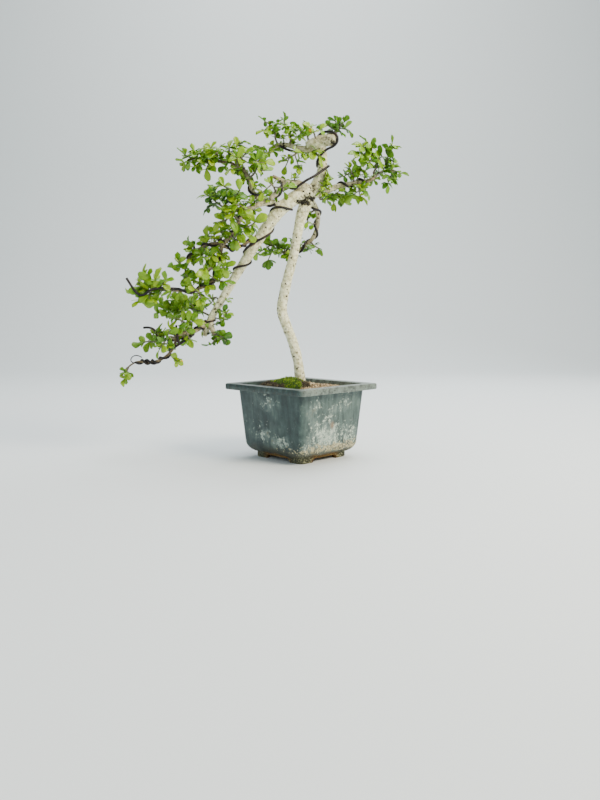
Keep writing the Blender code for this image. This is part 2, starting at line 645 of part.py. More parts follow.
def spot_at(route, distance):
    """The point, with its radius, and the direction at a distance along a route."""
    marks = lengths_along(route)
    distance = min(max(distance, 0.0), marks[-1])
    for number in range(len(route) - 1):
        if distance <= marks[number + 1] or number == len(route) - 2:
            share = (distance - marks[number]) / (marks[number + 1] - marks[number])
            spot = route[number].lerp(route[number + 1], share)
            along = (route[number + 1].xyz - route[number].xyz).normalized()
            return spot, along


def winding(route, start, end, turns, angle):
    """Points of a wire wound round wood between two shares of its length, just clear of the bark."""
    length = lengths_along(route)[-1]
    count = max(3, math.ceil(abs(turns) * WIRE_POINTS_PER_TURN))
    outside = 1.0 / math.cos(math.pi / WIRE_POINTS_PER_TURN)
    points = []
    for number in range(count + 1):
        share = number / count
        spot, along = spot_at(route, length * (start + (end - start) * share))
        front = Vector((0, -1, 0))
        front = (front - along * front.dot(along)).normalized()
        side = along.cross(front)
        turn = math.radians(angle) + 2 * math.pi * turns * share
        reach = (spot.w + WIRE_RADIUS + GAP) * outside
        points.append(spot.xyz + (front * math.cos(turn) + side * math.sin(turn)) * reach)
    return points


def pushed_clear(point, routes, clearance):
    """Move a point out of any wood that it is too close to."""
    for _ in range(CLEARING_ROUNDS):
        for route in routes.values():
            for start, end in zip(route, route[1:]):
                near, share = intersect_point_line(point, start.xyz, end.xyz)
                share = min(max(share, 0.0), 1.0)
                near = start.lerp(end, share)
                away = point - near.xyz
                need = near.w + clearance
                if away.length < need:
                    point = near.xyz + away.normalized() * need
    return point


def make_wire(name, stretches, routes, parts):
    """One bent training wire: windings round the wood and loose stretches between and after them."""
    points = []
    for stretch in stretches:
        if stretch[0] == "wind":
            points += winding(routes[stretch[1]], *stretch[2:])
        else:
            points += smooth_route(stretch[1], WIRE_STEP)
    points = [pushed_clear(point, routes, WIRE_RADIUS + GAP) for point in points]
    route = [
        Vector((*point, WIRE_RADIUS)) for before, point in zip([Vector()] + points, points)
        if (point - before).length > WIRE_RADIUS
    ]
    wire = tube(name, route, WIRE_SIDES, parts)
    paint(wire, WIRE_COAT)
    return wire


def off_the_bark(wood, target):
    """Where a stem that grows towards target leaves the bark, and stands just clear of it."""
    nearest = None
    for start, end in zip(wood, wood[1:]):
        _, share = intersect_point_line(target, start.xyz, end.xyz)
        near = start.lerp(end, min(max(share, 0.0), 1.0))
        if nearest is None or (near.xyz - target).length < (nearest.xyz - target).length:
            nearest = near
    away = (target - nearest.xyz).normalized()
    reach = nearest.w
    if (nearest - wood[-1]).length < GAP:
        reach *= away.cross((wood[-1].xyz - wood[-2].xyz).normalized()).length
    return nearest.xyz + away * (reach + ROOT_CLEARANCE)


def tapered(points, radii, step):
    """A smooth stem route that thins evenly from its first radius to its last."""
    route = smooth_route([(*point, 0.0) for point in points], step)
    marks = lengths_along(route)
    for spot, mark in zip(route, marks):
        spot.w = radii[0] + (radii[1] - radii[0]) * mark / marks[-1]
    return route


def spray_routes(spray, routes):
    """The stem of a spray and its side twigs, each a route with radii."""
    wood, points, twigs, _ = spray
    root = off_the_bark(routes[wood], Vector(points[0]))
    stem = tapered([root, *points], STEM_RADII, STEM_STEP)
    length = lengths_along(stem)[-1]
    stems = [stem]
    for number, tip in enumerate(twigs):
        share = FORK_SPAN[0] + (FORK_SPAN[1] - FORK_SPAN[0]) * (number + 0.5) / len(twigs)
        fork, along = spot_at(stem, length * share)
        stems.append(tapered([fork.xyz, tip], TWIG_RADII, STEM_STEP))
    return stems


def leaf_slots(stem, dice, size):
    """Where leaves stand on a stem, from its tip inward: place, direction, upper face and length."""
    slots = []
    outermost = lengths_along(stem)[-1] - TIP_INSET
    distance = outermost
    turn = dice.uniform(0.0, 2 * math.pi)
    while distance > BARE_FOOT:
        spot, along = spot_at(stem, distance)
        turn += GOLDEN_TURN
        side = Matrix.Rotation(turn, 3, along) @ along.orthogonal().normalized()
        lean = TIP_LEAN if distance == outermost else SIDE_LEAN
        direction = (along * lean + side + Vector((0, 0, dice.uniform(*LEAF_RISE)))).normalized()
        light = ((spot.xyz - CANOPY_CENTRE) * LIGHT_PULL).normalized() + LIGHT_ABOVE
        face = light + Vector([dice.uniform(-FACE_SPREAD, FACE_SPREAD) for _ in range(3)])
        face = (face - direction * face.dot(direction)).normalized()
        place = spot.xyz + direction * spot.w * LEAF_SEAT
        slots.append((place, direction, face, dice.uniform(*LEAF_LENGTH) * size))
        distance -= LEAF_SPACING * dice.uniform(*SPACING_SPREAD)
    return slots


def leaf_blade(slot, margin):
    """One blunt obovate leaf, arched down to its tip; a margin makes it that much larger all round."""
    place, direction, face, length = slot
    width = length * LEAF_BREADTH + 2 * margin
    thickness = LEAF_THICKNESS + 2 * margin
    blade = bmesh.new()

    def corner(along, across):
        drop = LEAF_ARCH * length * along ** 2
        return blade.verts.new((length * along, width * across, margin - drop))

    stalk = corner(0.0, 0.0)
    rows = [(corner(along, -half), corner(along, half)) for along, half in LEAF_STATIONS]
    blade.faces.new((stalk, *rows[0]))
    for (left, right), (next_left, next_right) in zip(rows, rows[1:]):
        blade.faces.new((left, next_left, right))
        blade.faces.new((right, next_left, next_right))
    bmesh.ops.recalc_face_normals(blade, faces=blade.faces[:])
    under = bmesh.ops.extrude_face_region(blade, geom=blade.faces[:])["geom"]
    lower = [item for item in under if isinstance(item, bmesh.types.BMVert)]
    bmesh.ops.translate(blade, verts=lower, vec=(0, 0, -thickness))
    bmesh.ops.triangulate(blade, faces=blade.faces[:])
    bmesh.ops.recalc_face_normals(blade, faces=blade.faces[:])
    turn = Matrix((direction, face.cross(direction), face)).transposed().to_4x4()
    bmesh.ops.transform(blade, verts=blade.verts[:], matrix=Matrix.Translation(place) @ turn)
    bmesh.ops.scale(blade, verts=blade.verts[:], vec=(MM, MM, MM))
    return blade


def crosses(shape, trees):
    """Whether a bmesh cuts any of the given solids."""
    own = BVHTree.FromBMesh(shape)
    return any(own.overlap(tree) for tree in trees)


def solid_of(item):
    """A search tree of an object's mesh."""
    shape = bmesh.new()
    shape.from_mesh(item.data)
    tree = BVHTree.FromBMesh(shape)
    shape.free()
    return tree


def make_sprays(parts, routes, solids):
    """Every leafy spray: stem, side twigs and leaves fused, without leaves that would cross others."""
    bare = {}
    for name, spray in SPRAYS.items():
        stems = spray_routes(spray, routes)
        items = [tube(f"{name}_stem", stems[0], STEM_SIDES, parts)]
        items += [tube(f"{name}_twig", twig, STEM_SIDES, parts) for twig in stems[1:]]
        bare[name] = (stems, items)
    taken = {name: [solid_of(item) for item in items] for name, (_, items) in bare.items()}
    for number, (name, (stems, items)) in enumerate(bare.items()):
        dice = random.Random(100 + number)
        others = solids + [tree for other, trees in taken.items() if other != name for tree in trees]
        own_leaves = []
        for stem in stems:
            last_used = False
            for slot in leaf_slots(stem, dice, SPRAYS[name][3]):
                if last_used:
                    last_used = False
                    continue
                guard = leaf_blade(slot, GAP)
                last_used = not crosses(guard, others + own_leaves)
                guard.free()
                if last_used:
                    leaf = add_mesh(f"{name}_leaf", leaf_blade(slot, 0.0), parts)
                    items.append(leaf)
                    own_leaves.append(solid_of(leaf))
        taken[name] += own_leaves
        spray_item = fuse(items[0], items[1:])
        spray_item.name = f"spray_{name}"
        paint(spray_item, LEAF)


def main():
    """Build the bonsai and move it so that the middle of its box stands over the origin."""
    clear_scene()
    parts = new_collection("fukien_tea_bonsai")
    cutters = new_collection("cutters")
    routes = wood_routes()
    sockets = []
    for name in ("trunk", "root_right", "root_back", "root_left"):
        socket = tube(f"{name}_socket", routes[name], sides_of(name), cutters, GAP)
        sockets.append(as_cutter(socket))
    make_pot(parts, cutters)
    make_soil(parts, cutters, sockets)
    make_moss(parts, cutters, sockets)
    tree = make_tree(parts, routes)
    wires = [make_wire(name, stretches, routes, parts) for name, stretches in WIRES.items()]
    make_sprays(parts, routes, [solid_of(item) for item in [tree, *wires]])
    middle = bpy.data.objects.new("pot_middle", None)
    middle.location = (PLANT_SHIFT * MM, 0, 0)
    bpy.context.scene.collection.objects.link(middle)
    for group in (parts, cutters):
        for item in group.objects:
            item.parent = middle


main()
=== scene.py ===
# %% [markdown]
# # A wired fukien tea bonsai in its pot
#
# A fukien tea is a small tropical tree with pale bark and round waxy leaves. This one leans out of a
# square training pot in a semi-cascade, and dark aluminium wire holds its branches where they were bent.
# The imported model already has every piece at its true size. Here each one gets its finished surface:
# fine wood, leaves, wire, grit, moss, and a pot with years of lime on it.

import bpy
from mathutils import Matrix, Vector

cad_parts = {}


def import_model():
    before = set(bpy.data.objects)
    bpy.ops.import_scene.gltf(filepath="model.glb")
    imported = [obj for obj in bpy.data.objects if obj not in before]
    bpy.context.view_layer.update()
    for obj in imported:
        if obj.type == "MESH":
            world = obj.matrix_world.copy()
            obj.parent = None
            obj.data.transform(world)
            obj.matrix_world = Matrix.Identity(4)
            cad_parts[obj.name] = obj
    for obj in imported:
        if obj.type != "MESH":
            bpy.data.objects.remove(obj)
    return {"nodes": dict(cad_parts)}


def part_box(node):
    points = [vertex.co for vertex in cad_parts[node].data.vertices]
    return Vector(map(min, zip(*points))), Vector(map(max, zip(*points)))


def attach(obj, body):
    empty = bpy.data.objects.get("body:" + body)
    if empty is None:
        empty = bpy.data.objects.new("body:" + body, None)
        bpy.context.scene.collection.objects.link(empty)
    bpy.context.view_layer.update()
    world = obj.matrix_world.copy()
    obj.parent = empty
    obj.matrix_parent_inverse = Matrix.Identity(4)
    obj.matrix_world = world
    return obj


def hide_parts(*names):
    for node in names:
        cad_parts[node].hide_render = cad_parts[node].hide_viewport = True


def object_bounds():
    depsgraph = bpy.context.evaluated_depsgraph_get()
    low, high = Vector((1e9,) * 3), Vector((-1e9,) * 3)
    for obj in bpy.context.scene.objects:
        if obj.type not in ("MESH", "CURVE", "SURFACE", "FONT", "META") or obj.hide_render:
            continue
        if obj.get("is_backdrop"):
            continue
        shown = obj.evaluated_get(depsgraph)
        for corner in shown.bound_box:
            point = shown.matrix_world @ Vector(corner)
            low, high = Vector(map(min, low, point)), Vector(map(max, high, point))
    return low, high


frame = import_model()
cad_box = [list(corner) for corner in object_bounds()]
print(len(frame["nodes"]), "packed nodes in the box", cad_box)

# %% Modules and units
import math
import random
from functools import partial

import bmesh
import bpy
from mathutils import Matrix, Vector, noise
from mathutils.bvhtree import BVHTree
from mathutils.geometry import intersect_point_line
from mathutils.kdtree import KDTree

MM = 0.001
pot_low, pot_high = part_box("pot")
POT_X = (pot_low[0] + pot_high[0]) / 2
POT_CENTRE = 4.0
PLANT_X = POT_X - POT_CENTRE * MM


def world(place):
    """A place in millimetres from the middle of the plant, in metres in the scene."""
    return place * MM + Vector((PLANT_X, 0, 0))


print("the pot stands", round(POT_X / MM, 1), "mm right of the middle of the box")

# %% Objects and meshes


def new_object(name, data):
    """An object for a mesh, a curve, a camera or a lamp, linked to the scene."""
    item = bpy.data.objects.new(name, data)
    bpy.context.scene.collection.objects.link(item)
    return item


def mesh_of(name, shape):
    """Turn a bmesh into a mesh, and free it."""
    mesh = bpy.data.meshes.new(name)
    shape.to_mesh(mesh)
    shape.free()
    return mesh


def evaluated(item):
    """The mesh of an object with its modifiers or its bevelled curve worked out."""
    bpy.context.view_layer.update()
    graph = bpy.context.evaluated_depsgraph_get()
    return bpy.data.meshes.new_from_object(item.evaluated_get(graph))


# %% [markdown]
# ## Colours and shader nodes
#
# Colours are written as the hex codes that a colour picker shows, and are turned to linear light once.
# One helper adds any shader node and gives back its output, so each material below reads as a short
# list of layers. It ends with what goes into the Principled shader.

# %% Helpers for every material
AS_COLOUR = {"data_type": "RGBA", "out": 2}


def linear(code):
    """Turn an sRGB hex colour into linear light, fully opaque."""
    parts = [int(code[start:start + 2], 16) / 255 for start in (1, 3, 5)]
    return (*[part / 12.92 if part <= 0.04045 else ((part + 0.055) / 1.055) ** 2.4 for part in parts], 1.0)


def fill_inputs(material, node, inputs):
    """Give inputs, by name or in their order, a value, a hex colour or the output of another node."""
    for name, value in inputs.items() if isinstance(inputs, dict) else enumerate(inputs):
        if isinstance(value, bpy.types.NodeSocket):
            material.node_tree.links.new(value, node.inputs[name])
        else:
            node.inputs[name].default_value = linear(value) if isinstance(value, str) else value


def add_node(material, kind, inputs=(), stops=(), out=0, **settings):
    """Add a shader node and return one of its outputs. Stops are the places and colours of a ramp."""
    made = material.node_tree.nodes.new(f"ShaderNode{kind}")
    for name, value in settings.items():
        setattr(made, name, value)
    fill_inputs(material, made, inputs)
    for number, (place, colour) in enumerate(stops):
        band = made.color_ramp.elements
        stop = band[number] if number < 2 else band.new(place)
        stop.position = place
        stop.color = linear(colour)
    return made.outputs[out]


def new_material(name, layers):
    """A material from a function that adds its layers and returns the Principled shader's inputs."""
    material = bpy.data.materials.new(name)
    material.use_nodes = True
    shader = material.node_tree.nodes["Principled BSDF"]
    fill_inputs(material, shader, layers(partial(add_node, material)))
    print("made", name)
    return material


# %% [markdown]
# ## The camera
#
# The picture was taken from about a metre away, a little above the rim of the pot and looking slightly
# down, with one corner of the pot to the front. The lens was worked out from the corners of the pot.

# %% Camera at the photograph's angle
CAMERA_PLACE = Vector((2.5, -1009.0, 195.4))
CAMERA_DIP = 0.1145
FRAME_HEIGHT = 800
FOCAL_PIXELS = 725
SENSOR = 36.0

camera = bpy.data.cameras.new("camera")
camera.sensor_width = SENSOR
camera.lens = FOCAL_PIXELS * SENSOR / FRAME_HEIGHT
camera_object = new_object("camera", camera)
camera_object.location = world(CAMERA_PLACE)
camera_object.rotation_euler = (math.pi / 2 - CAMERA_DIP, 0, 0)
bpy.context.scene.camera = camera_object
print("lens", round(camera.lens, 2), "mm")

# %% [markdown]
# ## The floor and the light
#
# A pale sheet that curves up behind the plant gives an even ground, as in a photographer's studio. The
# light is large and soft: a broad window from the right, a weak fill from the left, and lamps above
# and behind, so the cream bark is bright down its right side and the pot has a shaded left face. One
# more lamp is only for the sheet behind.

# %% Floor and backdrop
FLOOR_FRONT = -1.6
FLOOR_TURN = 1.5
SWEEP_RADIUS = 0.9
SWEEP_STEPS = 12
BACKDROP_TOP = 3.2
FLOOR_HALF = 4.0

sheet = bmesh.new()
profile = [(FLOOR_FRONT, 0.0), (FLOOR_TURN, 0.0)]
for step in range(1, SWEEP_STEPS + 1):
    angle = math.radians(90 * step / SWEEP_STEPS)
    profile.append((FLOOR_TURN + SWEEP_RADIUS * math.sin(angle), SWEEP_RADIUS * (1 - math.cos(angle))))
profile.append((FLOOR_TURN + SWEEP_RADIUS, BACKDROP_TOP))
edge = [sheet.verts.new((-FLOOR_HALF, back, up)) for back, up in profile]
lines = [sheet.edges.new(pair) for pair in zip(edge, edge[1:])]
swept = bmesh.ops.extrude_edge_only(sheet, edges=lines)["geom"]
moved = [item for item in swept if isinstance(item, bmesh.types.BMVert)]
bmesh.ops.translate(sheet, verts=moved, vec=(2 * FLOOR_HALF, 0, 0))
bmesh.ops.recalc_face_normals(sheet, faces=sheet.faces[:])
floor = new_object("floor", mesh_of("floor", sheet))
floor.data.shade_smooth()
paper = new_material("pale_paper", lambda add: {"Base Color": "#dfe6e7", "Roughness": 0.9})
floor.data.materials.append(paper)
floor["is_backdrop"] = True
print("floor of", len(floor.data.polygons), "faces")

# %% Window, fill and top light
# Each lamp: its place, what it aims at, its size, its power and its colour
LIGHTS = {
    "window": ((1.2, -0.8, 1.1), (0.0, 0.0, 0.25), 0.7, 42.0, "#fff4e0"),
    "fill": ((-1.5, -1.2, 0.8), (0.0, 0.0, 0.2), 1.2, 6.0, "#e2eeff"),
    "overhead": ((0.1, 0.1, 1.7), (0.0, 0.0, 0.2), 1.0, 20.0, "#ffffff"),
    "back_glow": ((0.7, 1.1, 1.2), (0.0, 0.0, 0.3), 0.8, 12.0, "#f8fbff"),
    "backdrop": ((0.0, 1.2, 2.2), (0.0, 2.4, 0.3), 1.6, 32.0, "#ffffff"),
}
for name, (place, aim, size, power, colour) in LIGHTS.items():
    lamp = bpy.data.lights.new(name, "AREA")
    lamp.size = size
    lamp.energy = power
    lamp.color = linear(colour)[:3]
    lamp_object = new_object(name, lamp)
    lamp_object.location = place
    lamp_object.rotation_euler = (Vector(aim) - Vector(place)).to_track_quat("-Z", "Y").to_euler()
sky = bpy.data.worlds.new("room_light")
sky.use_nodes = True
sky.node_tree.nodes["Background"].inputs["Color"].default_value = linear("#e3ebee")
sky.node_tree.nodes["Background"].inputs["Strength"].default_value = 0.62
bpy.context.scene.world = sky
print(len(LIGHTS), "lights")

# %% [markdown]
# ## Routes
#
# Everything that grows here is a line first: the trunk, the branches, the shoots and the wires round
# them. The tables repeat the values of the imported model, in millimetres from the middle of the plant,
# with the wood's radius as the fourth value, so each fine piece lies where its solid does.

# %% The wood as points and radii
ROOT_DEPTH = 62
WOOD = {
    "trunk": [(3, 0, ROOT_DEPTH, 7), (3, 0, 90, 8.6), (3, 0, 98, 8.6), (2.5, 0, 110, 7.3),
        (-0.5, 2, 133, 6.8), (-6.5, 5, 157, 6.9), (-16, 7, 182, 6.9), (-22.7, 8, 203, 7.1),
        (-20.3, 7, 223, 6.9), (-13.9, 4, 251, 6.7), (-6.3, 2, 279, 6.2), (-1.3, 0, 306, 6.4),
        (4, 0, 330, 7.4), (11, 0, 349, 8.6), (18, 0, 363, 9)],
    "root_right": [(4, -1, 103, 5.5), (12, -5, 98, 4.6), (19, -8, 93, 3.4), (26, -10, 84, 2.4)],
    "root_back": [(2, 2, 102, 5), (-3, 10, 98, 4.2), (-6, 17, 93, 3), (-8, 22, 84, 2.2)],
    "root_left": [(2, 0, 101, 4.6), (-8, 3, 97, 3.8), (-16, 5, 91, 2.8), (-22, 6, 84, 2)],
    "leader": [(13, 0, 356, 8.8), (24, 1, 370, 8.6), (31, 3, 386, 7.2), (33, 3, 399, 6.4),
        (33, 1, 412, 6.2), (31, -1, 423, 6.8)],
    "stub": [(11, 0, 424, 4.4), (20, -1, 427, 6.8), (31, -3, 429.5, 7.8), (41, -6, 430, 7.8),
        (46.5, -8, 430, 7.2)],
    "cascade": [(21, 0, 366, 7.5), (8, -3, 361, 9), (-5, -7, 354, 9.3), (-18.5, -10, 343, 8.6),
        (-31, -12, 330, 8), (-42, -12, 315, 7.8), (-53, -10, 300, 7.4), (-63.5, -7, 285, 6.9),
        (-74.5, -3, 268, 6.5), (-86, 1, 251, 6.1), (-97, 5, 233, 5.7), (-108, 8, 216, 5.2),
        (-119, 10, 198, 5), (-127, 10, 181, 4.4), (-131, 9, 170, 3.8)],
    "cascade_end": [(-123, 10, 191, 4.2), (-120, 3, 180, 3.8), (-116, -5, 171, 3)],
    "right": [(14, 0, 358, 5.5), (24, 4, 361, 4.8), (36, 8, 365, 4.3), (51, 10, 371.5, 3.9),
        (68, 10, 375, 3.4), (84, 8, 378, 3), (95, 6, 379, 2.6), (104, 4, 383, 2.2)],
    "back": [(14, 2, 355, 4.6), (22, 13, 348, 3.8), (27, 22, 338, 3.4), (27, 28, 323, 3.1),
        (23, 32, 310, 3), (15, 36, 299, 2.8), (4, 38, 291, 2.6), (-9, 38, 287, 2.3), (-21, 34, 285, 2)],
    "top_left": [(26, -2, 425, 5), (12, 2, 420.5, 4.2), (-2, 4, 422.5, 3.6), (-12, 7, 426, 3.3),
        (-25, 10, 427.5, 3), (-34, 13, 424.5, 2.9), (-42, 15, 415, 2.4), (-52, 16, 408, 2),
        (-64, 14, 401, 1.6)],
    "front_arm": [(13, -3, 366, 6), (-1, -12, 372, 5.2), (-15, -20, 369, 4.5), (-26, -27, 360, 3.9),
        (-36, -32, 350, 3)],
    "front_spur": [(-12, -18, 371, 3.6), (-23, -22, 375, 3), (-33, -26, 379, 2.2)],
    "mid": [(-20, -11, 344, 5), (-31, -18, 346, 4.2), (-42, -24, 347, 3.9), (-54, -30, 351.5, 3.5),
        (-60.5, -33, 360.5, 3.1), (-63, -33, 372, 2.8), (-69, -30, 383, 2.4), (-73, -27, 392, 2)],
    "far_left": [(-63, -33, 372, 2.4), (-74, -23, 387, 2.2), (-89, -12, 399, 2), (-103, -4, 402, 1.8),
        (-117, 3, 405, 1.5)],
    "left": [(-42, -25, 346, 3.6), (-56, -34, 340, 3.2), (-69, -40, 335, 2.7), (-83, -42, 334, 2.2),
        (-96, -42, 336, 1.7)],
    "drop": [(-58, -35, 340, 3), (-69, -36, 331, 2.8), (-77, -36, 320, 2.7), (-84, -34, 308, 2.6),
        (-92, -31, 298, 2.5), (-101, -29, 289, 2.4)],
    "drop_left": [(-91, -31, 299, 2.3), (-104, -27, 293, 2.2), (-118, -22, 292, 2), (-131, -18, 287, 1.9),
        (-142, -16, 281, 1.8), (-149, -16, 271, 1.6)],
    "drop_down": [(-101, -29, 291, 2.4), (-103, -31, 277, 2.3), (-105, -34, 262, 2.2),
        (-110, -38, 248, 2.1), (-118, -42, 238, 2), (-130, -45, 232, 1.9), (-143, -46, 229, 1.8),
        (-160, -46, 229, 1.5)],
    "link": [(-56, -9, 299, 2.6), (-69, -17, 294, 2), (-80, -22, 287, 1.7), (-90, -25, 285, 1.6),
        (-100, -28, 288, 1.6)],
    "low_front": [(-125, 9, 188, 3.4), (-135, 0, 180, 2.8), (-145, -8, 174, 2.5), (-157, -14, 173, 2.3)],
    "tail": [(-156, -14, 174, 2.2), (-166, -14, 168, 2.1), (-170, -12, 155, 2), (-179, -8, 144, 1.9),
        (-191, -4, 136, 1.8), (-205, 0, 132.5, 1.8), (-218, 1, 133, 1.6), (-226, 3, 132.5, 1.4),
        (-233, 4, 129, 1.3), (-239, 6, 124.5, 1.2)],
    "low_left": [(-145, -8, 174, 2.2), (-163, 6, 167, 1.9), (-180, 16, 164, 1.7), (-192, 20, 163, 1.5)],
}
print(sum(len(points) for points in WOOD.values()), "points in the table of wood")

# %% Smooth lines through the points
WOOD_STEP = 22.0
FINE_STEP = 2.0


def smooth_route(points, step):
    """Follow a smooth curve through points of any dimension and read it about every step."""
    spots = [Vector(point) for point in points]
    spots = [2 * spots[0] - spots[1], *spots, 2 * spots[-1] - spots[-2]]
    route = []
    for before, start, end, after in zip(spots, spots[1:], spots[2:], spots[3:]):
        count = max(1, round((end - start).length / step))
        for number in range(count):
            share = number / count
            bend = (2 * before - 5 * start + 4 * end - after) * share ** 2
            twist = (3 * start - before - 3 * end + after) * share ** 3
            route.append(0.5 * (2 * start + (end - before) * share + bend + twist))
    route.append(spots[-2])
    return route


def lengths_along(route):
    """How far along the route each of its points is."""
    total = [0.0]
    for start, end in zip(route, route[1:]):
        total.append(total[-1] + (end.xyz - start.xyz).length)
    return total


def spot_at(route, distance):
    """The point, with its radius, and the direction at a distance along a route."""
    marks = lengths_along(route)
    distance = min(max(distance, 0.0), marks[-1])
    for number in range(len(route) - 1):
        if distance <= marks[number + 1] or number == len(route) - 2:
            share = (distance - marks[number]) / (marks[number + 1] - marks[number])
            spot = route[number].lerp(route[number + 1], share)
            along = (route[number + 1].xyz - route[number].xyz).normalized()
            return spot, along


coarse_wood = {name: smooth_route(points, WOOD_STEP) for name, points in WOOD.items()}
fine_wood = {name: smooth_route(points, FINE_STEP) for name, points in WOOD.items()}
print(len(WOOD), "limbs,", round(sum(lengths_along(route)[-1] for route in fine_wood.values())), "mm of wood")

# %% Round tubes along routes


def tubes(routes, sides):
    """Closed round tubes along routes whose fourth values are radii, as one bmesh in metres."""
    curve = bpy.data.curves.new("tubes", "CURVE")
    curve.dimensions = "3D"
    curve.bevel_depth = MM
    curve.bevel_resolution = (sides - 4) // 2
    curve.use_fill_caps = True
    for route in routes:
        spline = curve.splines.new("POLY")
        spline.points.add(len(route) - 1)
        for knot, spot in zip(spline.points, route):
            knot.co = (spot.x * MM + PLANT_X, spot.y * MM, spot.z * MM, 1.0)
            knot.radius = spot.w
    source = new_object("tubes", curve)
    mesh = evaluated(source)
    shape = bmesh.new()
    shape.from_mesh(mesh)
    bpy.data.objects.remove(source, do_unlink=True)
    bpy.data.curves.remove(curve)
    bpy.data.meshes.remove(mesh)
    bmesh.ops.remove_doubles(shape, verts=shape.verts[:], dist=0.00001)
    bmesh.ops.recalc_face_normals(shape, faces=shape.faces[:])
    return shape


def gather(whole, part):
    """Add one bmesh to another and free it. Many small parts are made faster in handfuls than one by one."""
    mesh = mesh_of("part", part)
    whole.from_mesh(mesh)
    bpy.data.meshes.remove(mesh)


def finish_piece(name, shape, materials, node, stands_in=True):
    """Turn a bmesh into a smooth piece attached to the root, hiding the node it stands in for unless it is
    something more.
    """
    piece = new_object(name, mesh_of(name, shape))
    piece.data.shade_smooth()
    for material in materials:
        piece.data.materials.append(material)
    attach(piece, "root")
    if stands_in:
        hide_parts(node)
    return piece


test = tubes([fine_wood["stub"]], 12)
print("a tube along the stub has", len(test.faces), "faces")
test.free()

# %% [markdown]
# ## The bark
#
# Young fukien tea bark is thin, dry and off-white, speckled with dark corky pores called lenticels.
# Twigs are greyer and browner. Old cuts stay as dark, ragged scars, and the fold where the cascade
# leaves the trunk, with the trunk just below it, is darkened as painted shade. The mottling is noise a
# few millimetres across, the lenticels are the cores of cells about seven millimetres apart, and three
# attributes painted on the mesh say where the wood is thick, where it is knotted, and where it has
# scars and painted shade.

# %% Bark material
LENTICEL_SPACING = 7.0
MOTTLE_SIZE = 4.5
GRAIN_SIZE = 1.1
LENTICEL_WAVER = 1.2


def pale_bark(add):
    """Dry papery bark: matt, cream to grey, with dark pores and scars, and painted shade in the fold under
    the cascade.
    """
    where = add("TexCoord", out="Object")
    girth, knot, scar_and_shade = [
        add("Attribute", out="Fac", attribute_name=name) for name in ("girth", "knot", "scar_and_shade")]
    mottle = add("TexNoise", {
        "Vector": where, "Scale": 1 / (MOTTLE_SIZE * MM), "Detail": 6.0, "Roughness": 0.68})
    grain = add("TexNoise", {
        "Vector": where, "Scale": 1 / (GRAIN_SIZE * MM), "Detail": 3.0, "Roughness": 0.6})
    cream = add("ValToRGB", [mottle], [
        (0.32, "#757156"), (0.40, "#bab58a"), (0.50, "#dedbb1"), (0.62, "#fcf9d8")])
    twig = add("ValToRGB", [mottle], [(0.34, "#403524"), (0.50, "#78684c"), (0.70, "#ab9a78")])
    waver = add("VectorMath", [grain.node.outputs["Color"], [LENTICEL_WAVER * MM] * 3], operation="MULTIPLY")
    wavering = add("VectorMath", [where, waver], operation="ADD")
    cells = add("TexVoronoi", {"Vector": wavering, "Scale": 1 / (LENTICEL_SPACING * MM), "Randomness": 1.0})
    uneven = add("Math", [mottle, 0.42, cells], operation="MULTIPLY_ADD")
    pore = add("MapRange", [uneven, 0.41, 0.38])
    torn = add("Math", [grain, 0.8, mottle], operation="MULTIPLY_ADD")
    ragged = add("Math", [scar_and_shade, torn], operation="MULTIPLY")
    wound_and_shade = add("MapRange", [ragged, 0.38, 0.86])
    colour = add("Mix", {0: girth, 6: twig, 7: cream}, **AS_COLOUR)
    # The last mask darkens the scars, and also paints shade into the fold under the cascade and onto the
    # trunk below it
    for mask, dark in ((pore, "#26211a"), (knot, "#332c24"), (wound_and_shade, "#1c190f")):
        colour = add("Mix", {0: mask, 6: colour, 7: dark}, **AS_COLOUR)
    relief = add("Math", [grain, mottle], operation="ADD")
    sunk = add("Math", [relief, pore], operation="SUBTRACT")
    return {"Base Color": colour, "Roughness": 0.86, "IOR": 1.42,
            "Normal": add("Bump", {"Height": sunk, "Strength": 0.55, "Distance": 0.6 * MM})}


bark = new_material("fukien_tea_bark", pale_bark)

# %% [markdown]
# ## The tree
#
# Each limb is a tube whose girth wavers a little and swells where it leaves its parent. Tubes that just
# cross look like pipes, so all of them are melted into one skin with a voxel remesh and smoothed: the
# joints close up with the soft webs that a living union has. Knots and wrinkles are then pushed into
# the skin along its normals. Side branches turn greyer within a centimetre or so of their parent.

# %% Limbs that waver and swell
WAVER = 0.05
COLLAR = {"right": 1.5, "back": 1.3, "front_arm": 1.6, "mid": 1.4, "top_left": 1.2, "left": 0.9, "drop": 0.8}
COLLAR_REACH = 7.0


def living(name, route):
    """A route with uneven girth, a collar at its foot and a rounded end."""
    grown = []
    for spot, mark in zip(route, lengths_along(route)):
        swell = COLLAR.get(name, 0.4) * math.exp(-(mark / COLLAR_REACH) ** 2)
        wave = noise.noise(spot.xyz * 0.11) + 0.5 * noise.noise(spot.xyz * 0.31)
        grown.append(Vector((*spot.xyz, spot.w * (1 + WAVER * wave) + swell + 0.1)))
    tip = grown[-1]
    along = (grown[-1].xyz - grown[-2].xyz).normalized()
    for out, share in ((0.35, 0.85), (0.6, 0.5)):
        grown.append(Vector((*(tip.xyz + along * tip.w * out), tip.w * share)))
    return grown


limbs = tubes([living(name, route) for name, route in fine_wood.items()], 16)
print("limbs before melting:", len(limbs.faces), "faces")

# %% One skin over all the limbs
VOXEL = 0.85
SOFTENING = 4

skin = new_object("limbs", mesh_of("limbs", limbs))
melt = skin.modifiers.new("melt", "REMESH")
melt.mode = "VOXEL"
melt.voxel_size = VOXEL * MM
melted = evaluated(skin)
bpy.data.objects.remove(skin, do_unlink=True)
tree_shape = bmesh.new()
tree_shape.from_mesh(melted)
bpy.data.meshes.remove(melted)
for _ in range(SOFTENING):
    bmesh.ops.smooth_vert(tree_shape, verts=tree_shape.verts[:], factor=0.5,
                          use_axis_x=True, use_axis_y=True, use_axis_z=True)
print("one skin of", len(tree_shape.faces), "faces")
